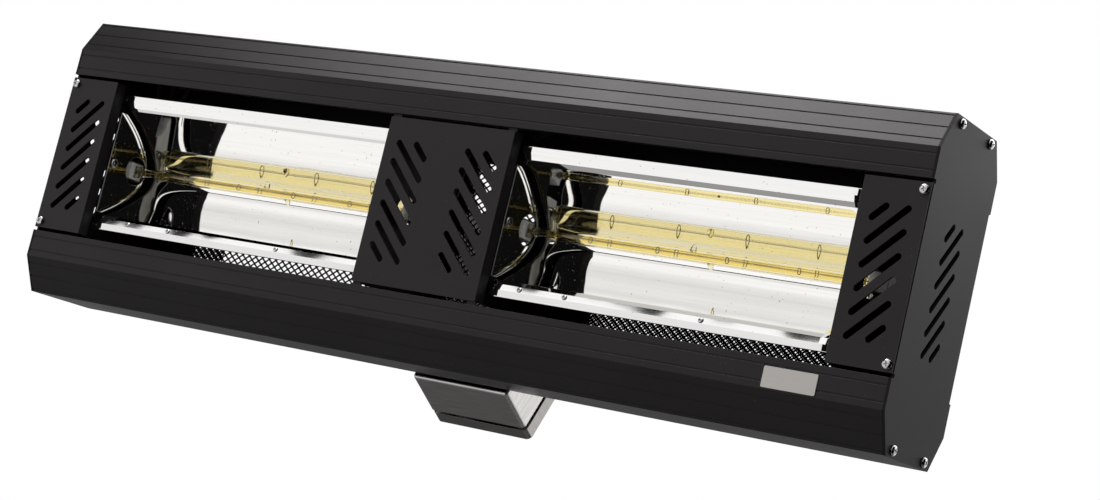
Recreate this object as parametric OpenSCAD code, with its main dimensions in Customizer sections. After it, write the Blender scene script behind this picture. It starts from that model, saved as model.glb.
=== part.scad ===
// Wall-mounted twin-lamp infrared heater on a tilting wall bracket.
// Origin: middle of the wall plate's back face. +X right, +Y into the wall, +Z up.
// The heater is drawn upright in its own frame (front face at y = 0) and then tilted on its pivot.

/* [Body] */
// Length of the heater over its two end plates
body_len = 700; // [620:10:900]
// Height of the heater over its two profiles
body_h = 208; // [204:2:230]
// Depth of the heater from front face to back face
body_d = 91; // [90:1:110]
// Height of the opening between the two profiles
mouth_h = 120; // [114:1:122]
// Depth of the chamfer along the front edges
front_cham_d = 14; // [10:1:16]
// Height of the chamfer along the front edges
front_cham_h = 24.4; // [18:0.2:26]
// Depth of the chamfer along the back edges
back_cham_d = 13.5; // [8:0.5:15]
// Height of the chamfer along the back edges
back_cham_h = 23; // [18:0.5:24]

/* [Profiles] */
// Wall of the extruded profiles
profile_t = 2; // [1.6:0.1:2.4]
// Distance from one decorative groove to the next, along the surface
groove_pitch = 10.2; // [8:0.1:13]
// Width of a groove
groove_w = 1; // [0.6:0.1:1.4]
// Depth of a groove
groove_deep = 0.5; // [0.3:0.05:0.8]
// Radius of the ring round an end screw's port
port_r = 3.7; // [3.2:0.1:4.2]
// Width of the slot in the back wall that the bracket screws slide in
tslot_w = 6.6; // [5.6:0.1:7]

/* [End plates and grilles] */
// Thickness of the end plates
end_t = 2; // [1.5:0.1:3]
// Thickness of the grille sheet
grille_t = 1.5; // [1:0.1:2]
// Width of the front plate at each end
end_grille_w = 44; // [42:1:50]
// Width of the front plate in the middle
centre_grille_w = 102; // [98:1:120]
// Gap between a grille and the profiles above and below it
grille_gap = 2.5; // [1.5:0.1:3.5]
// Depth of the side flanges folded back from a grille
grille_flange = 10; // [6:0.5:10]
// Width of a ventilation slot
vent_w = 4.4; // [3:0.2:5]
// Distance between ventilation slots, measured upright
vent_pitch = 14.5; // [12:0.5:16]
// Sideways run of a long ventilation slot between its end centres
vent_run = 22; // [16:0.2:23]
// Rise of a long ventilation slot between its end centres
vent_rise = 22; // [16:0.2:24]
// Half height of the field of ventilation slots, to the end centres
vent_half = 40; // [36:1:42]

/* [Reflectors] */
// Thickness of the polished reflector sheet
reflector_t = 0.8; // [0.6:0.1:1]
// Four times the focal length of the reflector's parabola
parabola = 40.4; // [34:0.2:42]
// Depth of the reflector's deepest line behind the front face
trough_d = 52; // [48:0.5:60]
// Setback of the reflector's lip behind the front face
lip_y = 10; // [10:0.5:14]
// Half height over the outer edges of the lips
lip_half = 50.6; // [48:0.2:52]
// Height of the flat lip that faces forward
lip_h = 5.6; // [5:0.2:8]
// Half height at which the sloping band meets the parabola
facet_half = 37.6; // [36:0.2:39]
// Gap between a trough's end and the polished end piece
trough_gap = 1.5; // [1:0.1:4]

/* [Lamps] */
// Outside diameter of the quartz tube
tube_d = 8.4; // [8:0.2:10]
// Wall of the quartz tube
tube_t = 1; // [0.8:0.1:1.2]
// Length of the flattened seal at each end of the tube
pinch_len = 16; // [14:1:32]
// Width of the flattened seal
pinch_w = 8.6; // [7:0.2:9]
// Thickness of the flattened seal
pinch_t = 2.6; // [2:0.1:3]
// Length of a ceramic end cap
cap_len = 22; // [18:1:24]
// Height of a ceramic end cap
cap_h = 12; // [11:0.5:15]
// Depth of a ceramic end cap
cap_d = 12; // [8:0.5:13]
// Radius of the hole that the lamp end passes through
lamp_hole_r = 10.6; // [9.8:0.1:11]
// Outside radius of a lamp lead in its sleeve
lead_r = 1.6; // [1.2:0.1:2]

/* [Back] */
// Thickness of the back panel
panel_t = 1.2; // [1:0.1:1.5]
// Half height of the windows in the back panel
window_half = 50; // [40:1:52]
// Length of one diamond of the guard mesh
mesh_x = 24; // [20:1:28]
// Height of one diamond of the guard mesh
mesh_z = 18; // [16:1:22]
// Width of a strand of the guard mesh
strand = 1.6; // [1:0.1:2.4]
// Thread radius of the cable gland
gland_r = 10; // [8:0.5:10]
// Radius of the cable that the gland takes
cable_r = 5; // [3.5:0.5:5.5]

/* [Bracket] */
// Tilt of the heater in the stored position, and the most that it tilts
tilt = 30; // [15:1:35]
// Width of the wall plate and of the arm
bracket_w = 80; // [74:1:84]
// Height of the wall plate
plate_h = 150; // [140:2:190]
// Depth of the wall plate's rim
plate_deep = 9.5; // [8:0.5:14]
// Sheet thickness of the wall plate and the arm
bracket_t = 2; // [1.5:0.1:3]
// Radius of the wall plate's corners
corner_r = 4; // [2.5:0.5:8]
// Shadow gap between the wall plate and the arm
shadow_gap = 3; // [2:0.2:5]
// Distance of the pivot in front of the wall
pivot_out = 76.5; // [72:0.5:100]
// Distance of the pivot behind the heater's back face
pivot_gap = 17; // [16.5:0.5:24]
// Height of the arm's front lip
arm_lip_h = 14; // [8:1:24]
// Radius of the pivot and clamp bolts
bolt_r = 4; // [3:0.5:4]
// Distance between the pivot bolt and the clamp bolt
clamp_reach = 38; // [34:1:42]
// Width between the wall screws
wall_hole_x = 52; // [40:2:56]
// Height between the wall screws
wall_hole_z = 124; // [112:2:130]
// Radius of the wall screw holes
wall_hole_r = 3.5; // [2.5:0.25:4]

/* [Hidden] */
$fn = 48;
// Clearance of a shaft that turns or a thread that is drawn plain
run_gap = 0.05;
// Clearance between pieces that are pushed together by hand
fit_gap = 0.3;
// Overrun of every cut past the face that it opens
over = 1;

// Fasteners
small_r = 1.45;
small_head_r = 3.3;
small_head_h = 2.2;
head_shares = [[1, 0.5], [0.8, 0.85], [0.45, 1]];
small_shank = 8;
recess_w = 0.9;
csk_r = 2.5;
csk_head_r = 4.6;
csk_head_h = 2.2;
stud_r = 3;
spacer_r = 6;
washer_t = 1.6;
nut_m6_r = 5.77;
nut_m6_h = 5;
nut_m8_r = 7.5;
nut_m8_h = 6.5;
bolt_head_h = 5.3;
clamp_washer_r = 8.4;
friction_t = 1.4;
friction_r = 12;
rivet_r = 1.6;
rivet_head_r = 2.9;
rivet_head_h = 1;

// Body section, in the heater's frame
half_h = body_h / 2;
mouth_half = mouth_h / 2;
hook_rise = 6;
hook_wall = 2;
panel_lap = 4.4;
tslot_gap = 0.9;
tslot_half = 5.2;
tslot_rib = 1.5;
tslot_deep = 5.6;
tslot_wall = 1.3;
tslot_z = mouth_half + panel_lap + tslot_gap + tslot_rib + tslot_half;
// The chamfers start clear of the middle cover's hooks and of the slot in the back wall
front_half = max(half_h - front_cham_h, mouth_half + hook_rise + hook_wall);
back_half = max(half_h - back_cham_h, tslot_z + tslot_half + tslot_rib + tslot_wall);
profile_len = body_len - 2 * end_t;
outline = [
    [0, mouth_half], [0, front_half], [front_cham_d, half_h],
    [body_d - back_cham_d, half_h], [body_d, back_half], [body_d, mouth_half]
];
groove_first = 4.9;
port_drop = 4.5;
port_front_in = 8;
port_back_in = 9;
port_front = front_cham_d + port_front_in;
port_back = body_d - back_cham_d - port_back_in;
port_mouth = 1.6;

// Front plates
grille_half = mouth_half - grille_gap;
grille_edge = 0.5;
end_grille_x = body_len / 2 - grille_edge - end_grille_w;
centre_half = centre_grille_w / 2;
side_vent_share = 0.49;
side_rise_share = 1.125;
end_vent_share = 0.483;
centre_vent_share = 0.56;
centre_vent_more = 2.8;
side_vent_y = side_vent_share * body_d;
side_vent_rise = side_rise_share * vent_run;
end_vent_x = end_grille_x + end_vent_share * end_grille_w;
centre_vent_x = centre_vent_share * centre_half;
vent_rows = 3;
grille_screw_in = 4.5;
grille_screw_drop = 4.7;
grille_screw_x = body_len / 2 - grille_screw_in;
grille_screw_z = grille_half - grille_screw_drop;
tab_w = 9.5;
tab_h = 12;
hook_w = 7;
hook_gap = 0.2;
slit_deep = 3.2;

// Lamp plates: the sheets that close each lamp chamber and hold the lamp ends
lamp_plate_t = 1;
inner_plate_out = 0.2;
outer_plate_in = 1.2;
inner_plate_x = centre_half + inner_plate_out;
outer_plate_x = end_grille_x - outer_plate_in;
lamp_plate_x = [-outer_plate_x, -inner_plate_x, inner_plate_x, outer_plate_x];
lamp_plate_way = [-1, 1, -1, 1];
chamber_len = outer_plate_x - inner_plate_x;
chamber_x = (outer_plate_x + inner_plate_x) / 2;
cheek_t = 0.8;
cheek_gap = 0.6;
lamp_y = trough_d - parabola / 4;
lamp_hole_rise = 1.8;
cheek_rim = 0.6;
lamp_hole_y = min(lamp_y - lamp_hole_rise, trough_d - cheek_gap - cheek_rim - lamp_hole_r);
// The hole in the lamp plate also clears the cap's corners
plate_hole_r = max(lamp_hole_r, norm([lamp_y - lamp_hole_y + cap_d / 2, cap_h / 2])) + fit_gap;
cheek_screw_in = 5.5;
cheek_screw_y = lip_y + cheek_screw_in;
foot_w = 28;
foot_half = window_half;
lip_tab_len = 9;
lip_tab_gap = 1;
trough_len = chamber_len - 2 * (cheek_t + trough_gap);
trough_steps = 28;
lip_return = 4;
// The sloping band always falls back from the lip to the parabola
band_rise = 4;
band_half = min(facet_half, sqrt(parabola * (trough_d - lip_y - band_rise)));

// Lamp: caps start just behind the chamber's ends
cap_back = 0.7;
lamp_half = chamber_len / 2 + cap_back;
pinch_grip = 10;
tube_half = lamp_half - pinch_len + pinch_grip;
pip_r = 1.3;
pip_h = 3.4;
coil_r = 1.1;
support_t = 0.5;
support_gap = 24;
cap_groove = 1.2;
cap_groove_shares = [0.3, 0.6];
cap_bore_r = lead_r + 0.2;
clip_t = 0.8;
clip_len = 14;
clip_foot = 14;
clip_screw_out = 9;
clip_screw_y = lamp_y + cap_d / 2 + clip_screw_out;

// Back
panel_y = body_d - profile_t - panel_t;
panel_half = mouth_half + panel_lap;
panel_end_gap = 0.5;
panel_len = profile_len - 2 * panel_end_gap;
mesh_t = 1.2;
mesh_lap = 4;
window_in = 33;
centre_window_in = 5;
side_window = [inner_plate_x + window_in, outer_plate_x - window_in];
centre_window = inner_plate_x - centre_window_in;
rivet_in = 2.3;
rivet_z = mouth_half + rivet_in;
rivet_shares = [0.475, 0.27, 0.09];
rivet_x = body_len * rivet_shares;
rivet_top_share = 0.7;
rivet_tail_share = 0.8;
strand_share = 0.8;
box_x = (outer_plate_x + lamp_plate_t + profile_len / 2) / 2;
gland_share = 0.6;
gland_hex_share = 1.38;
gland_neck_share = 0.85;
gland_nut_share = 0.93;
gland_dome_share = 0.86;
gland_lip_share = 1.3;
gland_z = -gland_share * mouth_half;
gland_hex_r = gland_hex_share * gland_r;
gland_hex_h = 5;
gland_dome_h = 16;
gland_in = 10;
locknut_h = 4.5;
block_w = 32;
block_d = 18;
block_h = 22;
block_z = 24;
block_pitch = block_w / 4;
block_hole_r = lead_r + fit_gap;
earth_r = 2.5;
earth_share = 0.08;
earth_hex_share = 1.85;
earth_z = -earth_share * mouth_half;
earth_len = 14;

// Lead routes run inside the upper profile, side by side
lead_rise = 16;
lead_z = mouth_half + lead_rise;
lead_step = 7;
lead_shift = 1;
lead_room = 4.4;
riser_share = 1.7;
lead_back = body_d - profile_t - tslot_deep - tslot_rib - lead_r - lead_room;
lead_sides = 8;
lead_samples = 4;

// Bracket
pivot_back = body_d + pivot_gap;
under_gap = 2.4;
stop_gap = 1.9;
lug_r = 13;
ear_t = 2.5;
ear_out = bracket_w / 2 - bracket_t - friction_t;
ear_foot = 14.5;
ear_screw_share = 0.6;
ear_foot_end = 6;
ear_foot_half = tslot_z + ear_foot_end;
slot_nut_gap = 1.4;
ear_foot_t = 2.5;
ear_low = 62;
clamp_r = 10;
clamp_turn = -45;
pivot_up = drop_of([body_d - back_cham_d, -half_h]) + under_gap - plate_h / 2;
arm_back = -plate_deep - shadow_gap;
arm_front = -pivot_out + max(reach_of([body_d, -back_half]), reach_of([body_d - back_cham_d, -half_h])) + stop_gap;
arm_rise = 26;
arm_top = pivot_up + arm_rise;
arm_bend = 3;
rear_rise = 7;
rear_top = pivot_up + rear_rise;
stud_x = 26;
stud_share = 0.3;
stud_drop = 14;
stud_z = [-stud_share * plate_h, rear_top - stud_drop];
clamp_at = pivot_back * [1, 0] + clamp_reach * [cos(clamp_turn), sin(clamp_turn)];

// Small list and vector helpers
function reversed(p) = [for (i = [len(p) - 1:-1:0]) p[i]];
function unit(v) = v / norm(v);
function left_of(a, b) = unit([a.y - b.y, b.x - a.x]);
function mitre(p, n1, n2, t) = p + t * (n1 + n2) / (1 + n1 * n2);

// How far a point of the heater's section lies behind and below the pivot when tilted
function reach_of(p) = (p.x - pivot_back) * cos(tilt) - p.y * sin(tilt);
function drop_of(p) = -(p.x - pivot_back) * sin(tilt) - p.y * cos(tilt);

// Outline of a sheet of thickness t whose visible face follows the points
function sheet_outline(p, t) = let (n = len(p) - 1)
    concat(p, [for (i = [n:-1:0]) mitre(
        p[i],
        left_of(p[max(i - 1, 0)], p[max(i, 1)]),
        left_of(p[min(i, n - 1)], p[min(i + 1, n)]),
        t
    )]);

// Depth of the parabola at height z
function trough_y(z) = trough_d - z * z / parabola;

// Distance along the section's outline to its i-th corner
function run_to(i) = i == 0 ? 0 : run_to(i - 1) + norm(outline[i] - outline[i - 1]);

// Extrusions along X and along Y between two stations
module span_x(x0, x1) {
    translate([x0, 0, 0]) rotate([90, 0, 90]) linear_extrude(x1 - x0) children();
}
module span_y(y0, y1) {
    translate([0, y1, 0]) rotate([90, 0, 0]) linear_extrude(y1 - y0) children();
}
module both_sides() {
    children();
    mirror([1, 0, 0]) children();
}
module both_heights() {
    children();
    mirror([0, 0, 1]) children();
}

// Puts the heater's own frame in the tilted, stored position
module tilted() {
    translate([0, -pivot_out, pivot_up]) rotate([tilt, 0, 0]) translate([0, -pivot_back, 0]) children();
}

// A rounded rectangle, centred
module rounded(w, h, r) {
    square([w - 2 * r, h], center = true);
    square([w, h - 2 * r], center = true);
    for (x = [-1, 1], y = [-1, 1]) translate([x * (w / 2 - r), y * (h / 2 - r)]) circle(r);
}

// A slot with round ends from a to b
module slot(a, b, w) {
    translate(a) rotate(atan2(b.y - a.y, b.x - a.x)) {
        circle(w / 2);
        translate([norm(b - a), 0]) circle(w / 2);
        translate([0, -w / 2]) square([norm(b - a), w]);
    }
}

// A field of slanting slots, cut short where they would leave the field
module vent_field(run, rise, way) {
    slope = rise / run;
    for (k = [-vent_rows:vent_rows]) {
        mid = k * vent_pitch;
        low = max(mid - rise / 2, -vent_half);
        high = min(mid + rise / 2, vent_half);
        slot([way * (low - mid) / slope, low], [way * (high - mid) / slope, high], vent_w);
    }
}

// A pan-head screw with a cross recess, head at the top, shank down -Z
module pan_screw(len) {
    difference() {
        rotate_extrude() polygon([
            [0, -len], [small_r, -len], [small_r, 0], [small_head_r, 0],
            for (p = head_shares) [small_head_r * p.x, small_head_h * p.y], [0, small_head_h]
        ]);
        for (turn = [0, 90]) rotate(turn) translate([0, 0, small_head_h])
            cube([small_head_r, recess_w, small_head_h], center = true);
    }
}

// A plain washer or spacer
module ring(outer, inner, h) {
    difference() {
        cylinder(r = outer, h = h);
        translate([0, 0, -over]) cylinder(r = inner, h = h + 2 * over);
    }
}
module hex_nut(r, bore, h) {
    difference() {
        cylinder(r = r, h = h, $fn = 6);
        translate([0, 0, -over]) cylinder(r = bore, h = h + 2 * over);
    }
}
module hex_bolt(len) {
    cylinder(r = nut_m8_r, h = bolt_head_h, $fn = 6);
    translate([0, 0, -len]) cylinder(r = bolt_r, h = len);
}

// Wall side of the bracket

module wall_plate() {
    color("silver") {
        difference() {
            rotate([90, 0, 0]) linear_extrude(plate_deep) rounded(bracket_w, plate_h, corner_r);
            translate([0, -bracket_t, 0]) rotate([90, 0, 0]) linear_extrude(plate_deep)
                rounded(bracket_w - 2 * bracket_t, plate_h - 2 * bracket_t, corner_r - bracket_t);
            for (x = [-1, 1], z = [-1, 1]) translate([x * wall_hole_x / 2, over, z * wall_hole_z / 2])
                rotate([90, 0, 0]) cylinder(r = wall_hole_r, h = bracket_t + 2 * over);
        }
        for (x = [-1, 1], z = stud_z) translate([x * stud_x, -bracket_t, z])
            rotate([90, 0, 0]) cylinder(r = stud_r, h = -arm_back + washer_t + nut_m6_h + bracket_t);
    }
}
module on_studs(y) {
    for (x = [-1, 1], z = stud_z) translate([x * stud_x, y, z]) rotate([90, 0, 0]) children();
}
module stud_spacers() {
    color("gray") on_studs(-bracket_t) ring(spacer_r, stud_r + run_gap, -arm_back - bracket_t);
}
module arm_washers() {
    color("silver") on_studs(arm_back - bracket_t) ring(spacer_r, stud_r + fit_gap, washer_t);
}
module arm_nuts() {
    color("silver") on_studs(arm_back - bracket_t - washer_t) hex_nut(nut_m6_r, stud_r + run_gap, nut_m6_h);
}

// Side view of the arm: a lug round the pivot, a front edge that follows the heater's back,
// a straight front lip and a top edge that falls from the wall to the pivot
module arm_side() {
    pivot = [-pivot_out, pivot_up];
    toward = [-cos(tilt), -sin(tilt)];
    down = [sin(tilt), -cos(tilt)];
    front_lug = pivot + lug_r * toward;
    corner = front_lug + down * (arm_front - front_lug.x) / down.x;
    top_lug = pivot + lug_r * [-sin(tilt / 2), cos(tilt / 2)];
    translate(pivot) circle(lug_r);
    polygon([
        pivot, front_lug, corner, [arm_front, -plate_h / 2],
        [arm_back, -plate_h / 2], [arm_back, arm_top], top_lug
    ]);
}
module clamp_arc() {
    pivot = [-pivot_out, pivot_up];
    slot_r = bolt_r + fit_gap;
    intersection() {
        difference() {
            circle(clamp_reach + slot_r, $fn = 96);
            circle(clamp_reach - slot_r, $fn = 96);
        }
        polygon([
            [0, 0],
            2 * clamp_reach * [cos(clamp_turn), sin(clamp_turn)],
            2 * clamp_reach * [cos(clamp_turn + tilt), sin(clamp_turn + tilt)]
        ]);
    }
    for (turn = [clamp_turn, clamp_turn + tilt])
        translate(clamp_reach * [cos(turn), sin(turn)]) circle(slot_r);
}
module bracket_arm() {
    w = bracket_w;
    color("silver") {
        difference() {
            intersection() {
                span_x(-w / 2, w / 2) arm_side();
                translate([0, over, 0]) rotate([90, 0, 0]) linear_extrude(2 * pivot_out) difference() {
                    translate([0, plate_h / 2]) rounded(w, 2 * plate_h, arm_bend);
                    translate([0, plate_h / 2 + bracket_t])
                        rounded(w - 2 * bracket_t, 2 * plate_h, arm_bend - bracket_t);
                }
            }
            span_x(-w, w) translate([-pivot_out, pivot_up]) {
                circle(bolt_r + run_gap);
                clamp_arc();
            }
        }
        difference() {
            translate([0, arm_back - bracket_t / 2, (rear_top - plate_h / 2) / 2 + bracket_t / 2])
                cube([w - bracket_t, bracket_t, rear_top + plate_h / 2 - bracket_t], center = true);
            translate([0, arm_back + over, 0]) on_studs(0)
                cylinder(r = stud_r + fit_gap, h = bracket_t + 2 * over);
        }
        translate([0, arm_front + bracket_t / 2, (arm_lip_h - plate_h) / 2])
            cube([w - 2 * arm_bend, bracket_t, arm_lip_h - bracket_t], center = true);
    }
}

// Tilting side of the bracket

module ear_side() {
    d = clamp_at;
    translate([pivot_back, 0]) circle(lug_r);
    translate(d) circle(clamp_r);
    polygon([
        [body_d, lug_r], [pivot_back, lug_r], [pivot_back, 0] + lug_r * [cos(-clamp_turn), sin(-clamp_turn)],
        d + clamp_r * [cos(-clamp_turn), sin(-clamp_turn)], d, d - [0, clamp_r], [body_d, -ear_low]
    ]);
}
module tilt_bracket() {
    color("dimgray") difference() {
        union() {
            span_x(ear_out - ear_t, ear_out) ear_side();
            translate([ear_out - ear_t, body_d, -ear_foot_half]) cube([ear_foot, ear_foot_t, 2 * ear_foot_half]);
        }
        span_x(ear_out - ear_t - over, ear_out + over) {
            translate([pivot_back, 0]) circle(bolt_r + fit_gap);
            translate(clamp_at) circle(bolt_r + fit_gap);
        }
        both_heights() translate([bracket_screw_x(), body_d + ear_foot_t, tslot_z]) rotate([-90, 0, 0])
            csk_hole();
    }
}
function bracket_screw_x() = ear_out - ear_t + ear_screw_share * ear_foot;
module csk_hole() {
    translate([0, 0, -ear_foot_t - over]) cylinder(r = csk_r + fit_gap, h = ear_foot_t + 2 * over);
    translate([0, 0, -csk_head_h]) cylinder(r1 = csk_r + fit_gap, r2 = csk_head_r + fit_gap, h = csk_head_h);
    cylinder(r = csk_head_r + fit_gap, h = over);
}
module tilt_bracket_left() {
    tilted() mirror([1, 0, 0]) tilt_bracket();
}
module tilt_bracket_right() {
    tilted() tilt_bracket();
}
module bracket_screws() {
    color("silver") tilted() both_sides() both_heights()
        translate([bracket_screw_x(), body_d + ear_foot_t, tslot_z]) rotate([-90, 0, 0]) {
            translate([0, 0, -csk_head_h]) cylinder(r1 = csk_r, r2 = csk_head_r, h = csk_head_h);
            translate([0, 0, -csk_head_h - tslot_deep - profile_t])
                cylinder(r = csk_r, h = csk_head_h + tslot_deep + profile_t);
        }
}
module bracket_slot_nuts() {
    side = 2 * tslot_half - fit_gap;
    thick = tslot_deep - slot_nut_gap;
    color("silver") tilted() both_sides() both_heights()
        translate([bracket_screw_x(), body_d - profile_t - thick / 2, tslot_z]) difference() {
            cube([side, thick, side], center = true);
            rotate([90, 0, 0]) cylinder(r = csk_r + run_gap, h = thick + 2 * over, center = true);
        }
}
module at_bolts(x, points) {
    tilted() both_sides() for (p = points) translate([x, p.x, p.y]) rotate([0, 90, 0]) children();
}
module friction_washers() {
    color("black") {
        at_bolts(ear_out, [[pivot_back, 0]]) ring(friction_r, bolt_r + run_gap, friction_t);
        at_bolts(ear_out, [clamp_at]) ring(clamp_r, bolt_r + run_gap, friction_t);
    }
}
module clamp_washers() {
    color("silver") at_bolts(bracket_w / 2, [[pivot_back, 0], clamp_at])
        ring(clamp_washer_r, bolt_r + run_gap, washer_t);
}
module bolt_here() {
    translate([0, 0, washer_t]) hex_bolt(bracket_w / 2 + washer_t - ear_out + ear_t + nut_m8_h + bracket_t);
}
module pivot_bolts() {
    color("silver") at_bolts(bracket_w / 2, [[pivot_back, 0]]) bolt_here();
}
module clamp_bolts() {
    color("silver") at_bolts(bracket_w / 2, [clamp_at]) bolt_here();
}
module clamp_nuts() {
    color("silver") at_bolts(ear_out - ear_t - nut_m8_h, [[pivot_back, 0], clamp_at])
        hex_nut(nut_m8_r, bolt_r + run_gap, nut_m8_h);
}

// Casing

module profile_section() {
    n = [for (i = [0:4]) -left_of(outline[i + 1], outline[i])];
    inner = concat(
        [[body_d - profile_t, mouth_half]],
        [for (i = [4:-1:1]) mitre(outline[i], -n[i - 1], -n[i], profile_t)],
        [[profile_t, mouth_half]]
    );
    difference() {
        union() {
            polygon(reversed(concat(outline, inner)));
            for (y = [port_front, port_back]) translate([y, half_h - port_drop]) circle(port_r);
            for (way = [-1, 1]) translate([body_d - profile_t - tslot_deep / 2, tslot_z + way * (tslot_half + tslot_rib / 2)])
                square([tslot_deep + profile_t, tslot_rib], center = true);
            translate([body_d - profile_t - tslot_deep - tslot_rib, tslot_z - tslot_half - tslot_rib])
                square([tslot_rib, 2 * (tslot_half + tslot_rib)]);
        }
        for (y = [port_front, port_back]) translate([y, half_h - port_drop]) {
            circle(small_r + run_gap);
            translate([-port_mouth / 2, -port_r - over]) square([port_mouth, port_r + over]);
        }
        translate([body_d - profile_t - over, tslot_z - tslot_w / 2]) square([profile_t + 2 * over, tslot_w]);
        groove_marks();
    }
}
module groove_marks() {
    count = floor(run_to(4) / groove_pitch);
    for (i = [0:3], k = [0:count]) {
        a = outline[i];
        b = outline[i + 1];
        s = groove_first + k * groove_pitch - run_to(i);
        if (s > groove_w && s < norm(b - a) - groove_w)
            translate(a) rotate(atan2(b.y - a.y, b.x - a.x)) translate([s, 0])
                square([groove_w, 2 * groove_deep], center = true);
    }
}
module profile() {
    difference() {
        span_x(-profile_len / 2, profile_len / 2) profile_section();
        for (x = rivet_x, s = [-1, 1]) translate([s * x, body_d + over, rivet_z]) rotate([90, 0, 0])
            cylinder(r = rivet_r + run_gap, h = profile_t + 2 * over);
    }
}
module top_profile() {
    color("#2b292a") tilted() profile();
}
module bottom_profile() {
    color("#2b292a") tilted() mirror([0, 0, 1]) profile();
}

module at_ports() {
    for (y = [port_front, port_back], z = [-1, 1]) translate([y, z * (half_h - port_drop)]) children();
}
module end_plate() {
    under = concat(outline, [for (i = [5:-1:0]) [outline[i].x, -outline[i].y]]);
    color("#4a4846") {
        span_x(body_len / 2 - end_t, body_len / 2) difference() {
            polygon(under);
            translate([-over, -mouth_half]) square([grille_t + over, mouth_h]);
            translate([body_d - profile_t, -mouth_half]) square([profile_t + over, mouth_h]);
            for (z = [-mouth_half, grille_half]) translate([-over, z]) square([slit_deep + over, grille_gap]);
            translate([side_vent_y, 0]) vent_field(vent_run, side_vent_rise, 1);
            at_ports() circle(small_r + fit_gap);
        }
        both_heights() difference() {
            translate([body_len / 2 - end_t - tab_w, grille_t, grille_half - tab_h])
                cube([tab_w + end_t / 2, end_t, tab_h]);
            translate([grille_screw_x, 0, grille_screw_z]) rotate([-90, 0, 0])
                cylinder(r = small_r + run_gap, h = grille_t + end_t + over);
        }
    }
}
module end_plate_left() {
    tilted() mirror([1, 0, 0]) end_plate();
}
module end_plate_right() {
    tilted() end_plate();
}
module end_plate_screws() {
    color("silver") tilted() both_sides() for (y = [port_front, port_back], z = [-1, 1])
        translate([body_len / 2, y, z * (half_h - port_drop)]) rotate([0, 90, 0]) pan_screw(small_shank);
}

module end_grille(way) {
    w = end_grille_w;
    color("#2b292a") difference() {
        union() {
            span_y(0, grille_t) translate([end_grille_x, -grille_half]) square([w, 2 * grille_half]);
            translate([end_grille_x, 0, -grille_half]) cube([grille_t, grille_flange, 2 * grille_half]);
        }
        span_y(-over, grille_t + over) translate([end_vent_x, 0]) vent_field(vent_run, vent_rise, way);
        for (z = [-1, 1]) translate([grille_screw_x, -over, z * grille_screw_z]) rotate([-90, 0, 0])
            cylinder(r = small_r + fit_gap, h = grille_t + 2 * over);
    }
}
module grille_left() {
    tilted() mirror([1, 0, 0]) end_grille(-1);
}
module grille_right() {
    tilted() end_grille(1);
}
module grille_centre() {
    color("#2b292a") tilted() {
        difference() {
            span_y(0, grille_t) square([centre_grille_w, 2 * grille_half], center = true);
            span_y(-over, grille_t + over) for (x = [-1, 1]) translate([x * centre_vent_x, 0])
                vent_field(vent_run + centre_vent_more, vent_rise + centre_vent_more, -1);
        }
        both_sides() translate([centre_half - grille_t, 0, -grille_half])
            cube([grille_t, grille_flange, 2 * grille_half]);
        both_sides() both_heights() grille_hook();
    }
}
// A corner hook: a step back through the gap, then a tongue behind the profile's front wall
module grille_hook() {
    back = profile_t + hook_gap;
    translate([centre_half - hook_w, 0, grille_half - grille_t]) cube([hook_w, back + grille_t, grille_t]);
    translate([centre_half - hook_w, back, grille_half - grille_t]) cube([hook_w, grille_t, hook_rise + grille_t + grille_gap]);
}
module grille_screws() {
    color("silver") tilted() both_sides() for (z = [-1, 1])
        translate([grille_screw_x, 0, z * grille_screw_z]) rotate([90, 0, 0]) pan_screw(small_shank);
}

// Reflectors

function trough_points() = concat(
    [[lip_y + lip_return, lip_half], [lip_y, lip_half], [lip_y, lip_half - lip_h]],
    [for (i = [0:trough_steps]) let (z = band_half * (1 - 2 * i / trough_steps)) [trough_y(z), z]],
    [[lip_y, lip_h - lip_half], [lip_y, -lip_half], [lip_y + lip_return, -lip_half]]
);
module reflector(x) {
    color("white") tilted() span_x(x - trough_len / 2, x + trough_len / 2)
        polygon(sheet_outline(trough_points(), reflector_t));
}
module reflector_left() {
    reflector(-chamber_x);
}
module reflector_right() {
    reflector(chamber_x);
}

// Places a piece at lamp end i with local +X leading out of the lamp's chamber
module at_lamp_end(i) {
    tilted() translate([lamp_plate_x[i], 0, 0]) scale_way(lamp_plate_way[i]) children();
}
module scale_way(way) {
    if (way > 0) children();
    else mirror([1, 0, 0]) children();
}
module reflector_end(i) {
    color("white") at_lamp_end(i) span_x(-cheek_t, 0) difference() {
        polygon(concat(
            [[lip_y + cheek_gap, -band_half], [lip_y + cheek_gap, band_half]],
            [for (k = [0:trough_steps]) let (z = band_half * (1 - 2 * k / trough_steps)) [trough_y(z) - cheek_gap, z]]
        ));
        translate([lamp_hole_y, 0]) circle(lamp_hole_r);
        translate([cheek_screw_y, 0]) circle(small_r + fit_gap);
    }
}
module lamp_plate(i) {
    h = mouth_half - grille_gap;
    color("#202020") at_lamp_end(i) {
        difference() {
            span_x(0, lamp_plate_t) translate([lip_y + cheek_gap, -h]) square([panel_y - lip_y - cheek_gap, 2 * h]);
            span_x(-over, lamp_plate_t + over) {
                translate([lamp_hole_y, 0]) circle(plate_hole_r);
                translate([cheek_screw_y, 0]) circle(small_r + run_gap);
                translate([clip_screw_y, 0]) circle(small_r + run_gap);
            }
        }
        translate([-foot_w, panel_y - lamp_plate_t, -foot_half])
            cube([foot_w + lamp_plate_t / 2, lamp_plate_t, 2 * foot_half]);
        both_heights() translate([-lip_tab_len, lip_y + reflector_t, lip_half - lip_h + lip_tab_gap])
            cube([lip_tab_len + lamp_plate_t / 2, lamp_plate_t, lip_h - 2 * lip_tab_gap]);
    }
}
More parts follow.
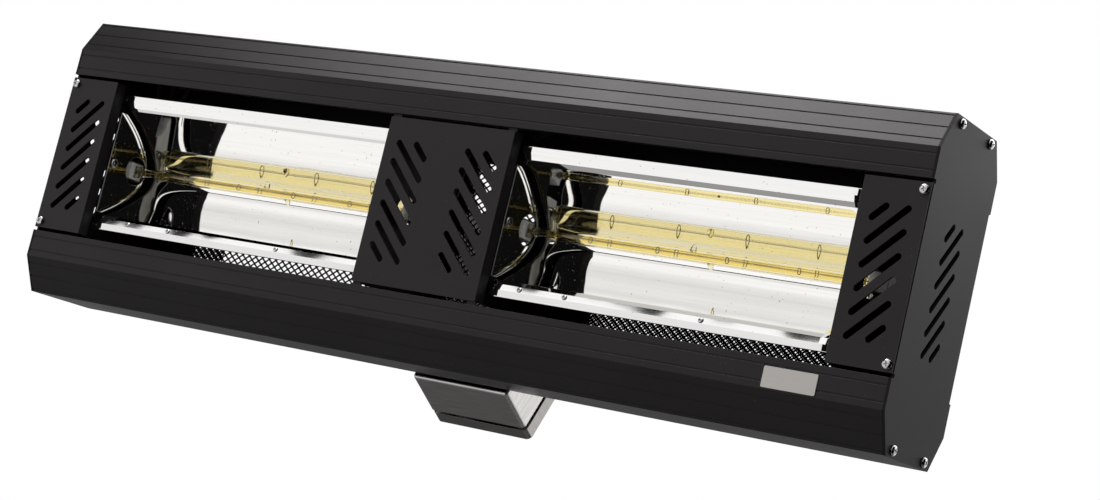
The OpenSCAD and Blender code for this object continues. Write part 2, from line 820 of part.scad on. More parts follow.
module lamp_plate_screws() {
    color("silver") for (i = [0:3]) at_lamp_end(i) translate([-cheek_t, cheek_screw_y, 0])
        rotate([0, -90, 0]) pan_screw(small_shank / 2);
}

// Lamps

module lamp_tube(x) {
    end_r = tube_d / 2;
    color("khaki", 0.5) tilted() translate([x, lamp_y, 0]) {
        rotate([0, 90, 0]) difference() {
            translate([0, 0, -tube_half]) cylinder(r = end_r, h = 2 * tube_half);
            translate([0, 0, end_r - tube_half]) cylinder(r = end_r - tube_t, h = 2 * (tube_half - end_r));
        }
        both_sides() translate([tube_half - end_r / 2, -pinch_t / 2, -pinch_w / 2])
            cube([lamp_half + pinch_grip - tube_half - fit_gap + end_r / 2, pinch_t, pinch_w]);
        translate([0, 0, end_r - tube_t / 2]) cylinder(r1 = pip_r, r2 = pip_r / 2, h = pip_h + tube_t / 2);
    }
}
module lamp_tube_left() {
    lamp_tube(-chamber_x);
}
module lamp_tube_right() {
    lamp_tube(chamber_x);
}
module filament(x) {
    len = tube_half - tube_d / 2 - fit_gap;
    count = floor(len / support_gap);
    color("darkgray") tilted() translate([x, lamp_y, 0]) rotate([0, 90, 0]) {
        translate([0, 0, -len]) cylinder(r = coil_r, h = 2 * len);
        for (k = [-count:count]) translate([0, 0, k * support_gap - support_t / 2])
            cylinder(r = tube_d / 2 - tube_t - run_gap, h = support_t);
    }
}
module filament_left() {
    filament(-chamber_x);
}
module filament_right() {
    filament(chamber_x);
}
// One ceramic cap: a block with a socket for the seal, two grooves and a hole for the lead
module lamp_cap(i) {
    color("white") at_lamp_end(i) translate([cap_back, lamp_y, 0]) difference() {
        translate([0, -cap_d / 2, -cap_h / 2]) cube([cap_len, cap_d, cap_h]);
        translate([-over, -pinch_t / 2 - fit_gap, -pinch_w / 2 - fit_gap])
            cube([pinch_grip + over, pinch_t + 2 * fit_gap, pinch_w + 2 * fit_gap]);
        rotate([0, 90, 0]) cylinder(r = cap_bore_r, h = cap_len + over);
        for (x = cap_groove_shares) translate([x * cap_len, -cap_d / 2 - over, -cap_h])
            cube([cap_groove, cap_groove + over, 2 * cap_h]);
    }
}
module lamp_caps_left() {
    lamp_cap(0);
    lamp_cap(1);
}
module lamp_caps_right() {
    lamp_cap(2);
    lamp_cap(3);
}
// A spring clip: a web behind the cap, a jaw above and below it, and a foot on the lamp plate
module lamp_clip(i) {
    jaw = cap_h / 2 + fit_gap;
    web = cap_d / 2 + fit_gap;
    color("darkgray") at_lamp_end(i) translate([lamp_plate_t, lamp_y, 0]) difference() {
        union() {
            translate([0, web, -jaw - clip_t]) cube([clip_len, clip_t, 2 * (jaw + clip_t)]);
            both_heights() translate([0, -web + fit_gap, jaw]) cube([clip_len, 2 * web - fit_gap + clip_t, clip_t]);
            translate([0, web, -jaw]) cube([clip_t, clip_foot, 2 * jaw]);
        }
        span_x(-over, clip_t + over) translate([clip_screw_y - lamp_y, 0]) circle(small_r + fit_gap);
    }
}
module clip_screws() {
    color("silver") for (i = [0:3]) at_lamp_end(i) translate([lamp_plate_t + clip_t, clip_screw_y, 0])
        rotate([0, 90, 0]) pan_screw(small_shank / 2);
}

// Leads: a tube swept along a smooth curve through the route's points

function bend(a, b, c, d, s) = 0.5 * (
    2 * b + (c - a) * s + (2 * a - 5 * b + 4 * c - d) * s * s + (3 * b - a - 3 * c + d) * s * s * s
);
function smooth_path(p) = let (n = len(p) - 1) concat(
    [for (i = [0:n - 1], k = [0:lead_samples - 1])
        bend(p[max(i - 1, 0)], p[i], p[i + 1], p[min(i + 2, n)], k / lead_samples)],
    [p[n]]
);
function tangent(p, i) = unit(p[min(i + 1, len(p) - 1)] - p[max(i - 1, 0)]);
function side_of(p, i) = i == 0 ? [0, 0, 1] : let (t = tangent(p, i), s = side_of(p, i - 1)) unit(s - (s * t) * t);
module swept(p, r) {
    n = len(p) - 1;
    m = lead_sides;
    rings = [for (i = [0:n]) let (t = tangent(p, i), u = side_of(p, i), v = cross(t, u), s = u - (u * t) * t)
        for (k = [0:m - 1]) p[i] + r * (cos(360 * k / m) * unit(s) + sin(360 * k / m) * unit(v))];
    polyhedron(
        points = rings,
        faces = concat(
            [[for (k = [0:m - 1]) k]],
            [for (i = [0:n - 1], k = [0:m - 1]) [i * m + k, (i + 1) * m + k, (i + 1) * m + (k + 1) % m]],
            [for (i = [0:n - 1], k = [0:m - 1]) [i * m + k, (i + 1) * m + (k + 1) % m, i * m + (k + 1) % m]],
            [[for (k = [m - 1:-1:0]) n * m + k]]
        )
    );
}
// Start of lead i at its cap, and its end in the terminal block
function cap_tail(i) = [lamp_plate_x[i] + lamp_plate_way[i] * (cap_len + cap_back), lamp_y, 0];
function pole(k) = [-box_x + (k - 1.5) * block_pitch, panel_y - block_d / 2, block_z + block_h];
function first_bend(i) = let (a = cap_tail(i), w = lamp_plate_way[i])
    [a, a + [w * lead_step, 0, 0], a + [w * riser_share * lead_step, lead_step / 2, 2 * lead_step]];
function last_bend(k) = let (b = pole(k)) [b + [0, 0, lead_step], b + [0, 0, lead_r], b - [0, 0, 2 * lead_r]];
function lead_y(k) = lead_back - (3 - k) * lead_step;
module lead(i, k) {
    a = cap_tail(i);
    w = lamp_plate_way[i];
    b = pole(k);
    up = a + [w * riser_share * lead_step, lead_step, mouth_half - 2 * lead_step];
    along = [
        [a.x + w * lead_step, lead_y(k), lead_z - lead_step], [a.x - lead_step, lead_y(k), lead_z],
        [(a.x + b.x) / 2, lead_y(k), lead_z], [b.x + 3 * lead_step, lead_y(k), lead_z],
        [b.x + lead_step, lead_y(k) + lead_shift, lead_z - lead_step / 2]
    ];
    color("ivory") tilted() swept(smooth_path(concat(first_bend(i), [up], along, last_bend(k))), lead_r);
}
module lead_left_outer() {
    a = cap_tail(0);
    b = pole(0);
    rise = [[a.x - 2 * lead_step + lead_shift, (a.y + b.y) / 2, b.z], [b.x, b.y - lead_step, b.z + 2 * lead_step]];
    color("ivory") tilted() swept(smooth_path(concat(first_bend(0), rise, last_bend(0))), lead_r);
}

// Terminals and earth

module terminal_block() {
    color("ivory") tilted() difference() {
        translate([-box_x - block_w / 2, panel_y - block_d, block_z]) cube([block_w, block_d, block_h]);
        for (k = [0:3]) translate(pole(k)) {
            translate([0, 0, -block_h - over]) cylinder(r = block_hole_r, h = block_h + 2 * over);
            translate([0, -block_d / 2 + small_head_h, -block_h / 2]) rotate([90, 0, 0])
                cylinder(r = small_head_r + run_gap, h = small_head_h + over);
            translate([0, 0, -block_h / 2]) rotate([90, 0, 0]) cylinder(r = small_r + run_gap, h = block_d / 2 + over);
        }
    }
}
module terminal_screws() {
    color("silver") tilted() for (k = [0:3]) translate(pole(k) + [0, small_head_h - block_d / 2, -block_h / 2])
        rotate([90, 0, 0]) pan_screw(small_shank / 2);
}
module earth_stud() {
    color("goldenrod") tilted() translate([-box_x, panel_y, earth_z]) rotate([90, 0, 0]) {
        cylinder(r = earth_r, h = earth_len);
        cylinder(r = earth_hex_share * earth_r, h = washer_t, $fn = 6);
        translate([0, 0, 2 * washer_t]) cylinder(r = earth_hex_share * earth_r, h = 2 * washer_t, $fn = 6);
    }
}

// Back

module at_rivets() {
    for (x = rivet_x, s = [-1, 1], z = [-1, 1]) translate([s * x, z * rivet_z]) children();
}
module back_panel() {
    color("#202020") tilted() span_y(panel_y, panel_y + panel_t) difference() {
        square([panel_len, 2 * panel_half], center = true);
        square([2 * centre_window, 2 * window_half], center = true);
        for (s = [-1, 1]) translate([s * (side_window[0] + side_window[1]) / 2, 0])
            square([side_window[1] - side_window[0], 2 * window_half], center = true);
        at_rivets() circle(rivet_r + run_gap);
        translate([-box_x, gland_z]) circle(gland_r + fit_gap);
    }
}
module back_rivets() {
    color("black") tilted() for (x = rivet_x, s = [-1, 1], z = [-1, 1])
        translate([s * x, body_d, z * rivet_z]) rotate([-90, 0, 0]) {
            cylinder(r1 = rivet_head_r, r2 = rivet_head_r * rivet_top_share, h = rivet_head_h);
            translate([0, 0, -profile_t - panel_t]) cylinder(r = rivet_r, h = profile_t + panel_t);
            translate([0, 0, -profile_t - panel_t - rivet_head_h]) cylinder(r = rivet_head_r * rivet_tail_share, h = rivet_head_h);
        }
}
// Expanded guard mesh: rows of diamonds, every other row shifted by half a diamond
module mesh(x0, x1) {
    w = x1 - x0;
    columns = ceil(w / mesh_x / 2) + 1;
    rows = ceil(window_half / mesh_z) + 1;
    color("#303030") tilted() span_y(panel_y - mesh_t, panel_y) translate([(x0 + x1) / 2, 0]) difference() {
        square([w + 2 * mesh_lap, 2 * (window_half + mesh_lap)], center = true);
        intersection() {
            square([w, 2 * window_half], center = true);
            for (c = [-columns:columns], r = [-2 * rows:2 * rows])
                translate([(c + abs(r % 2) / 2) * mesh_x, r * mesh_z / 2]) diamond();
        }
    }
}
module diamond() {
    dx = mesh_x / 2 - strand * strand_share;
    dz = mesh_z / 2 - strand * strand_share;
    polygon([[-dx, 0], [0, -dz], [dx, 0], [0, dz]]);
}
module mesh_left() {
    mesh(-side_window[1], -side_window[0]);
}
module mesh_centre() {
    mesh(-centre_window, centre_window);
}
module mesh_right() {
    mesh(side_window[0], side_window[1]);
}

// Cable entry

module at_gland(y) {
    tilted() translate([-box_x, y, gland_z]) rotate([-90, 0, 0]) children();
}
module cable_gland() {
    color("black") at_gland(panel_y + panel_t) difference() {
        union() {
            cylinder(r = gland_hex_r, h = gland_hex_h, $fn = 6);
            translate([0, 0, -gland_in]) cylinder(r = gland_r, h = gland_in + over);
            cylinder(r = gland_r * gland_neck_share, h = gland_hex_h + gland_dome_h / 2);
        }
        translate([0, 0, -gland_in - over]) cylinder(r = cable_r, h = gland_in + gland_hex_h + gland_dome_h);
    }
}
module gland_nut() {
    r = gland_hex_r * gland_nut_share;
    color("black") at_gland(panel_y + panel_t + gland_hex_h) difference() {
        union() {
            cylinder(r = r, h = gland_dome_h / 2, $fn = 6);
            translate([0, 0, gland_dome_h / 2]) cylinder(r1 = r * gland_dome_share, r2 = cable_r * gland_lip_share, h = gland_dome_h / 2);
        }
        translate([0, 0, -over]) cylinder(r = cable_r, h = gland_dome_h + 2 * over);
        translate([0, 0, -over]) cylinder(r = gland_r * gland_neck_share + run_gap, h = gland_dome_h / 2 + over + fit_gap);
    }
}
module gland_locknut() {
    color("black") at_gland(panel_y - locknut_h) hex_nut(gland_hex_r, gland_r + run_gap, locknut_h);
}

wall_plate();
stud_spacers();
bracket_arm();
arm_washers();
arm_nuts();
tilt_bracket_left();
tilt_bracket_right();
friction_washers();
pivot_bolts();
clamp_bolts();
clamp_washers();
clamp_nuts();
bracket_screws();
bracket_slot_nuts();
top_profile();
bottom_profile();
end_plate_left();
end_plate_right();
end_plate_screws();
grille_left();
grille_centre();
grille_right();
grille_screws();
reflector_left();
reflector_right();
reflector_end(0);  // reflector_end_left_outer
reflector_end(1);  // reflector_end_left_inner
reflector_end(2);  // reflector_end_right_inner
reflector_end(3);  // reflector_end_right_outer
lamp_plate(0);  // lamp_plate_left_outer
lamp_plate(1);  // lamp_plate_left_inner
lamp_plate(2);  // lamp_plate_right_inner
lamp_plate(3);  // lamp_plate_right_outer
lamp_plate_screws();
lamp_tube_left();
lamp_tube_right();
filament_left();
filament_right();
lamp_caps_left();
lamp_caps_right();
lamp_clip(0);  // lamp_clip_left_outer
lamp_clip(1);  // lamp_clip_left_inner
lamp_clip(2);  // lamp_clip_right_inner
lamp_clip(3);  // lamp_clip_right_outer
clip_screws();
lead_left_outer();
lead(1, 1);  // lead_left_inner
lead(2, 2);  // lead_right_inner
lead(3, 3);  // lead_right_outer
terminal_block();
terminal_screws();
earth_stud();
back_panel();
back_rivets();
mesh_left();
mesh_centre();
mesh_right();
cable_gland();
gland_nut();
gland_locknut();
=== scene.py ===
# %% [markdown]
# # A quartz infrared heater on its wall bracket
# The object is a long black heater with two gold-tinted quartz lamps in mirror-polished troughs.
# It leans face down on a short brushed-steel bracket. The solids come from CAD, so this lesson is
# about looks: finishes, the curved mirror, glass, guard mesh and the small fasteners.

import math
from functools import partial

import bmesh
import bpy
from mathutils import Matrix, Vector


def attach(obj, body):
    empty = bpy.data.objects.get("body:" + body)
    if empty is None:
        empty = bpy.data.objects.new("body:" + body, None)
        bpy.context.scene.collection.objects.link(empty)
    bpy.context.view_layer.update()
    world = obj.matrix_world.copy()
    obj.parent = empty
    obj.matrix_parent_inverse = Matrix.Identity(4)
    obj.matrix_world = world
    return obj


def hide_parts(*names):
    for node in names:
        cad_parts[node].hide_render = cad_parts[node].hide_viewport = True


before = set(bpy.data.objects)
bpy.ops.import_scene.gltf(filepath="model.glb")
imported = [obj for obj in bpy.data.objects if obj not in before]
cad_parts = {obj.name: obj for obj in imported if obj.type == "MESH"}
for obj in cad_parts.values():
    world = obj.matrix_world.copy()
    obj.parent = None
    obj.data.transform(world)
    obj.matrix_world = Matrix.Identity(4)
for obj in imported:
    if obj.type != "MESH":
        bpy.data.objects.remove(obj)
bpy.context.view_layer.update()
scene = bpy.context.scene
MM = 0.001


def link(name, data):
    """Puts an object with this data into the scene."""
    obj = bpy.data.objects.new(name, data)
    scene.collection.objects.link(obj)
    return obj


# %% [markdown]
# The heater is easiest to think about upright: front face at y = 0, middle at z = 0. On the wall it
# hangs 30 degrees face down about the bracket's pivot, so one matrix carries upright millimetres to
# the place in the frame, in metres.

# %% The heater's own frame
TILT = math.radians(30)
PIVOT = Vector((0, -76.5, 32.717)) * MM
PIVOT_BACK = 108 * MM
HEATER = Matrix.Translation(PIVOT) @ Matrix.Rotation(TILT, 4, "X") @ Matrix.Translation((0, -PIVOT_BACK, 0))


def up(x, y, z):
    """A point of the upright heater, in millimetres, as a point of the frame."""
    return HEATER @ Vector((x * MM, y * MM, z * MM))


print("front centre sits at", [round(c, 4) for c in up(0, 0, 0)])

# %% [markdown]
# The camera stands low and to the right, as the photographer did, and looks up at the face.
# A long lens keeps the heater's edges nearly parallel. The small shift only frames the picture.

# %% Camera
camera_data = bpy.data.cameras.new("camera")
camera_data.lens = 78.73
camera_data.sensor_width = 36
camera_data.shift_y = -0.0545
camera_data.clip_end = 100
camera = link("camera", camera_data)
camera.location = (0.93894, -1.17263, -0.83466)
camera.rotation_euler = [math.radians(a) for a in (127.0933, -27.0178, 21.6688)]
scene.camera = camera
print("camera distance to the heater:", round((camera.location - up(0, 0, 0)).length, 3))

# %% [markdown]
# Colours are picked as sRGB hex values, as a paint chart gives them, and turned to linear light once.
# A single helper adds a node, sets it and links it, so each material below reads like a recipe.

# %% Colour and node helpers


def linear(hex_colour, alpha=1.0):
    values = [int(hex_colour[i : i + 2], 16) / 255 for i in (0, 2, 4)]
    return [v / 12.92 if v <= 0.04045 else ((v + 0.055) / 1.055) ** 2.4 for v in values] + [alpha]


def add(tree, kind, inputs=None, **settings):
    """Adds one node. Inputs are numbers, colours or another node's socket."""
    node = tree.nodes.new(kind)
    for name, value in settings.items():
        setattr(node, name, value)
    for key, value in (inputs or {}).items():
        if isinstance(value, bpy.types.NodeSocket):
            tree.links.new(value, node.inputs[key])
        else:
            node.inputs[key].default_value = value
    return node


def new_material(name, **principled):
    """A material with its shader; the names given are the shader's own sockets."""
    material = bpy.data.materials.new(name)
    material.use_nodes = True
    shader = material.node_tree.nodes["Principled BSDF"]
    for key, value in principled.items():
        shader.inputs[key.replace("_", " ")].default_value = value
    return material, material.node_tree, shader


def object_coordinates(tree, scale=(1, 1, 1)):
    where = add(tree, "ShaderNodeTexCoord")
    sizes = {"Vector": where.outputs["Object"], "Scale": scale}
    return add(tree, "ShaderNodeMapping", sizes).outputs["Vector"]


def math_node(tree, operation, a, b=0.0):
    return add(tree, "ShaderNodeMath", {0: a, 1: b}, operation=operation).outputs[0]


def noise(tree, place, scale, detail):
    return add(tree, "ShaderNodeTexNoise", {"Vector": place, "Scale": scale, "Detail": detail}).outputs["Fac"]


def ramp(tree, factor, stops):
    node = add(tree, "ShaderNodeValToRGB", {"Fac": factor})
    for i, (place, colour) in enumerate(stops):
        element = node.color_ramp.elements[i] if i < 2 else node.color_ramp.elements.new(place)
        element.position = place
        element.color = colour
    return node.outputs["Color"]


def bump(tree, shader, height, strength, distance):
    node = add(tree, "ShaderNodeBump", {"Height": height, "Strength": strength, "Distance": distance})
    tree.links.new(node.outputs["Normal"], shader.inputs["Normal"])


def two_tone(tree, shader, factor, low, high, start=0.3, end=0.7):
    """Colours the shader between two hex colours, by a factor."""
    colour = ramp(tree, factor, [(start, linear(low)), (end, linear(high))])
    tree.links.new(colour, shader.inputs["Base Color"])


def vary_roughness(tree, shader, factor, low, high):
    spread = add(tree, "ShaderNodeMapRange", {"Value": factor, "To Min": low, "To Max": high})
    tree.links.new(spread.outputs["Result"], shader.inputs["Roughness"])


def add_dust(tree, shader, colour, place, scale, grain, dust):
    """Lays a few grains of dust on a colour and returns where they lie."""
    cells = add(tree, "ShaderNodeTexVoronoi", {"Vector": place, "Scale": scale})
    where = math_node(tree, "LESS_THAN", cells.outputs["Distance"], grain)
    dusted = add(tree, "ShaderNodeMix", {"Factor": where, "A": colour, "B": linear(dust)}, data_type="RGBA")
    tree.links.new(dusted.outputs["Result"], shader.inputs["Base Color"])
    return where


# %% [markdown]
# Powder coat is paint baked on as dry powder. It flows out almost smooth, but keeps a faint orange
# peel about a millimetre across, and that is what breaks up the highlights on the casing. A few
# grains of dust lie on it. The flat end plates have a duller coat than the extrusions.

# %% Black powder coat


def powder_coat(name, colour, dusty, roughness, specular):
    material, tree, shader = new_material(
        name, Roughness=roughness, Specular_IOR_Level=specular, Specular_Tint=(1.0, 0.93, 0.95, 1)
    )
    place = object_coordinates(tree)
    clouds = noise(tree, place, 14.0, 3.0)
    coat = ramp(tree, clouds, [(0.35, linear(colour)), (0.75, linear(dusty))])
    add_dust(tree, shader, coat, place, 170.0, 0.035, "5c5a58")
    bump(tree, shader, noise(tree, place, 900.0, 2.0), 0.12, 0.0002)
    vary_roughness(tree, shader, clouds, roughness - 0.04, roughness + 0.06)
    return material


casing_black = powder_coat("powder coated aluminium, satin black", "141213", "1a1819", 0.33, 0.28)
end_black = powder_coat("powder coated aluminium, satin black end", "191718", "201e1f", 0.42, 0.09)
cover_black = powder_coat("powder coated steel, satin black", "171516", "1d1b1c", 0.45, 0.3)
# The parts inside the casing get a matt black coat made darker than the other coats: painted shade for the
# inside.
inside_shade_black = powder_coat("powder coated steel, matt black, darkened as painted shade", "060606", "090909", 0.6, 0.15)

# %% [markdown]
# Metals differ mostly in how they were finished. The bracket is stainless steel brushed with a belt:
# thousands of fine scratches along one direction. The screws are zinc plated: bright, slightly blue
# and soft. A scratch is 0.05 mm wide; it is drawn 0.4 mm wide here, or the picture would lose it.

# %% Metals


def brushed_metal(name, colour, darker, roughness, stretch, depth=0.15):
    """Scratches run along the axes whose stretch is small."""
    material, tree, shader = new_material(name, Metallic=1.0, Roughness=roughness)
    lines = noise(tree, object_coordinates(tree, stretch), 1.0, 4.0)
    two_tone(tree, shader, lines, darker, colour)
    vary_roughness(tree, shader, lines, roughness - 0.08, roughness + 0.12)
    bump(tree, shader, lines, depth, 0.0001)
    return material


EVEN, ACROSS = (900, 900, 900), (40, 2500, 40)
# The wall plate and the arm are one stainless steel; the arm's colour is painted lighter and the plate's
# darker, as painted light and shade.
shaded_plate_steel = brushed_metal("stainless steel, brushed", "b5b2af", "9a9794", 0.2, (30, 30, 2500))
lit_arm_steel = brushed_metal("stainless steel, brushed across the arm", "e6e4e2", "bcb9b6", 0.3, ACROSS)
zinc = brushed_metal("steel, bright zinc plated", "dcdcdc", "b4b5b8", 0.2, (500, 500, 500), 0.1)
spring_steel = brushed_metal("spring steel, blued by heat", "8d8880", "5d5650", 0.35, EVEN)
brass = brushed_metal("brass, turned", "c8a765", "a98b50", 0.3, EVEN)
cut_edge = brushed_metal("aluminium, sheared edge", "f0f0f0", "c8c8c8", 0.6, EVEN, 0.3)
plate_finish = brushed_metal("aluminium, satin anodised", "c4c0bc", "bdb9b5", 0.5, (6, 6, 3000), 0.04)
foil_metal = brushed_metal("molybdenum foil, rolled", "8b8984", "6a6864", 0.3, (900, 60, 60))

# %% [markdown]
# The reflector is rolled aluminium, polished and anodised: nearly a mirror. Rolling leaves a faint
# swell a few centimetres long, handling leaves specks of dust, and both only show against black.

# %% Polished aluminium
polish = {"Metallic": 1.0, "Roughness": 0.03}
mirror, tree, shader = new_material("reflector aluminium, polished and anodised", **polish)
place = object_coordinates(tree)
rolling = noise(tree, object_coordinates(tree, (8, 900, 900)), 1.0, 2.0)
sheet = ramp(tree, rolling, [(0.3, linear("f8f7f5")), (0.7, linear("fdfcfa"))])
specks = add_dust(tree, shader, sheet, place, 210.0, 0.07, "d9d8d4")
vary_roughness(tree, shader, specks, 0.03, 0.7)
bump(tree, shader, noise(tree, place, 24.0, 1.0), 0.3, 0.0005)
print("mirror nodes:", len(tree.nodes))

# %% [markdown]
# The lamp is fused quartz with a thin gold tint that takes the glare out of the light. Quartz bends
# light a little less than window glass (IOR 1.46). The tint sits in the glass colour, and light
# crosses the wall twice on its way through the tube, so a pale colour is enough. The tungsten has
# gone grey in use, the ceramic is unglazed, and the leads wear black woven glass sleeves.

# %% Quartz, tungsten, ceramic and the rest
gold_tint = {"Base_Color": linear("fff7d2"), "Roughness": 0.0, "IOR": 1.458, "Transmission_Weight": 1.0}
quartz = new_material("fused quartz, gold tinted", **gold_tint)[0]


def mottled(name, colour, other, scale, roughness, relief=0.0, metallic=0.0):
    """Two close colours in grains of a real size, with a little relief."""
    material, tree, shader = new_material(name, Roughness=roughness, Metallic=metallic)
    grain = noise(tree, object_coordinates(tree), scale, 3.0)
    two_tone(tree, shader, grain, colour, other)
    if relief:
        bump(tree, shader, grain, relief, 0.0001)
    return material


tungsten = mottled("tungsten wire", "9a9186", "bdb5aa", 400.0, 0.4, metallic=1.0)
ceramic = mottled("steatite ceramic, unglazed", "c9c6be", "e2dfd8", 500.0, 0.6, 0.2)
nylon = mottled("nylon, moulded black", "191919", "222222", 600.0, 0.5, 0.2)
fibre = mottled("vulcanised fibre, black", "1a1917", "26241f", 500.0, 0.75, 0.2)

sleeve, tree, shader = new_material("glass fibre sleeve", Roughness=0.8, Sheen_Weight=0.2)
weave = add(tree, "ShaderNodeTexVoronoi", {"Vector": object_coordinates(tree), "Scale": 1200.0})
two_tone(tree, shader, weave.outputs["Distance"], "2b2926", "171614", 0.1, 0.8)
bump(tree, shader, weave.outputs["Distance"], 0.4, 0.0002)
print("materials:", len(bpy.data.materials))

# %% [markdown]
# Every solid first gets the finish of the real piece. Those that need finer shapes are replaced below.

# %% Finishes for the solids


def dress(material, *names):
    for name in names:
        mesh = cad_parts[name].data
        mesh.materials.clear()
        mesh.materials.append(material)


def starting(*starts):
    return [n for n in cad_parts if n.startswith(starts)]


dress(casing_black, *starting("top_profile", "bottom_profile"))
dress(end_black, "end_plate_left", "end_plate_right")
dress(cover_black, *starting("grille_left", "grille_centre", "grille_right", "tilt_bracket", "back_rivets"))
# Lamp plates, back panel and mesh take the darker coat, as painted shade inside the casing.
dress(inside_shade_black, *starting("lamp_plate_left", "lamp_plate_right", "back_panel", "mesh_"))
# The plate's darker steel is painted shade, the arm's lighter steel painted light.
dress(shaded_plate_steel, "wall_plate")
dress(lit_arm_steel, "bracket_arm")
dress(
    zinc,
    *starting("stud_", "arm_washers", "arm_nuts", "pivot_", "clamp_", "bracket_screws", "bracket_slot"),
    *starting("end_plate_screws", "grille_screws", "lamp_plate_screws", "clip_screws", "terminal_screws"),
)
dress(mirror, *starting("reflector_"))
dress(quartz, *starting("lamp_tube_"))
dress(tungsten, *starting("filament_"))
dress(ceramic, *starting("lamp_caps_", "terminal_block"))
dress(spring_steel, *starting("lamp_clip_"))
dress(sleeve, *starting("lead_"))
dress(fibre, "friction_washers")
dress(nylon, "cable_gland", "gland_nut", "gland_locknut")
dress(brass, "earth_stud")

# %% [markdown]
# Real sheet and extrusions have no knife edges: a bend or a die leaves a small radius, and that
# radius catches the light as a thin line. A merged copy of a solid gets its long edges rounded, and
# the copy stands in for the solid. Weighted normals keep the large faces flat beside the radius.

# %% Piece helpers


def finish_mesh(name, mesh, material, node=None, smooth=30, weighted=False, body="heater"):
    """Makes the piece from a mesh whose place is already in its points."""
    mesh.materials.clear()
    mesh.materials.append(material)
    mesh.shade_smooth()
    obj = link(name, mesh)
    mesh.set_sharp_from_angle(angle=math.radians(smooth))
    if weighted:
        flat = obj.modifiers.new("flat faces", "WEIGHTED_NORMAL")
        flat.keep_sharp = True
        flat.weight = 100
    if node:
        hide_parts(node)
    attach(obj, body)
    return obj


def any_edge(edge):
    return edge.calc_face_angle(0) > math.radians(25)


def rounded_copy(node, passes, segments=2, body="heater"):
    """Copies a solid, merges it and rounds the edges that each pass picks, by its own radius."""
    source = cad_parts[node]
    bm = bmesh.new()
    bm.from_mesh(source.data)
    bmesh.ops.remove_doubles(bm, verts=bm.verts, dist=2e-6)
    flat = math.radians(0.8)
    bmesh.ops.dissolve_limit(bm, angle_limit=flat, verts=bm.verts, edges=bm.edges)
    for radius, wanted in passes:
        picked = [e for e in bm.edges if len(e.link_faces) == 2 and wanted(e)]
        bmesh.ops.bevel(
            bm,
            geom=picked,
            offset=radius * MM,
            offset_type="OFFSET",
            segments=segments,
            profile=0.5,
            affect="EDGES",
            clamp_overlap=radius < 1,
        )
    mesh = bpy.data.meshes.new(node + "_edges")
    bm.to_mesh(mesh)
    bm.free()
    eased = finish_mesh(node + "_eased", mesh, source.data.materials[0], node, 40, True, body)
    print(eased.name, "faces", len(mesh.polygons))
    return eased


# %% [markdown]
# Each part gets the radius that its making leaves: thick pressed steel the largest, punched covers
# and thin clips the smallest. The arm's floor is folded up into its front lip, and that one edge is
# much rounder than its cut ones, so a rule picks the edge by its place and rounds it first.

# %% Ease the edges of the sheet parts
ARM_FRONT = -48.8 * MM
ARM_BEND, ARM_BEND_RADIUS = Vector((37, -72)) * MM, 3 * MM
NEAR = 0.1 * MM


def front_fold(edge):
    """The outer edge where the floor of the arm is folded up to its front lip, bends included."""
    return all(
        v.co.y < ARM_FRONT + NEAR
        and v.co.z < ARM_BEND.y + NEAR
        and math.hypot(max(abs(v.co.x) - ARM_BEND.x, 0), v.co.z - ARM_BEND.y) > ARM_BEND_RADIUS - 2 * NEAR
        for v in edge.verts
    )


rounded_copy("bracket_arm", [(1.9, front_fold), (0.4, any_edge)], 4, "wall_bracket")
rounded_copy("wall_plate", [(0.6, any_edge)], body="wall_bracket")
for radius, names in (
    (0.4, ["tilt_bracket_left", "tilt_bracket_right"]),
    (0.3, ["end_plate_left", "end_plate_right", "grille_left", "grille_centre", "grille_right"]),
    (0.4, ["lamp_caps_left", "lamp_caps_right"]),
    (0.2, ["lamp_clip_" + clip for clip in ("left_outer", "left_inner", "right_inner", "right_outer")]),
    (0.4, ["terminal_block"]),
    (0.3, ["cable_gland", "gland_nut"]),
):
    for name in names:
        rounded_copy(name, [(radius, any_edge)])

# %% [markdown]
# An extrusion's long edges come from the die. The four outer corners are blunt, and the edges of the
# grooves and slots are almost sharp, so they get different radii. Their angles tell them apart.

# %% Ease the extrusions


def is_long(edge):
    a, b = edge.verts
    return abs(a.co.x - b.co.x) > 0.3


def blunt_corner(edge):
    return is_long(edge) and 25 < math.degrees(edge.calc_face_angle(0)) < 75


def groove_edge(edge):
    return is_long(edge) and math.degrees(edge.calc_face_angle(0)) >= 75


for name in ("top_profile", "bottom_profile"):
    rounded_copy(name, [(0.7, blunt_corner), (0.16, groove_edge)])

# %% [markdown]
# The polished end pieces are thin sheet, cut to the trough's curve. Their rims are sheared metal,
# which is matt and catches light from everywhere: that gives the fine bright lines round them.

# %% Polished ends with sheared rims
for name in starting("reflector_end_"):
    polished_end = rounded_copy(name, [(0.25, any_edge)], segments=1).data
    polished_end.materials.append(cut_edge)
    for face in polished_end.polygons:
        if abs(face.normal.x) < 0.9:
            face.material_index = 1

# %% [markdown]
# Shapes that follow a rule are made with geometry nodes: each tree has named sizes, and a modifier
# on an empty mesh runs it once. All lengths below are in millimetres, and turn to metres here.

# %% Geometry node helpers


def new_tree(name, sizes=(), counts=(), objects=()):
    """A geometry tree with named inputs; returns it, a function that adds nodes, and its inputs."""
    tree = bpy.data.node_groups.new(name, "GeometryNodeTree")
    tree.interface.new_socket("Geometry", in_out="OUTPUT", socket_type="NodeSocketGeometry")
    kinds = {"Geometry": "Geometry", **dict.fromkeys(sizes, "Float"), **dict.fromkeys(counts, "Int")}
    kinds |= {**dict.fromkeys(objects, "Object"), "Material": "Material"}
    for title, kind in kinds.items():
        tree.interface.new_socket(title, in_out="INPUT", socket_type="NodeSocket" + kind)
    return tree, partial(add, tree), tree.nodes.new("NodeGroupInput").outputs


def applied(obj):
    """The plain mesh that an object's modifiers make; the object itself goes."""
    graph = bpy.context.evaluated_depsgraph_get()
    mesh = bpy.data.meshes.new_from_object(obj.evaluated_get(graph), depsgraph=graph)
    bpy.data.objects.remove(obj)
    return mesh


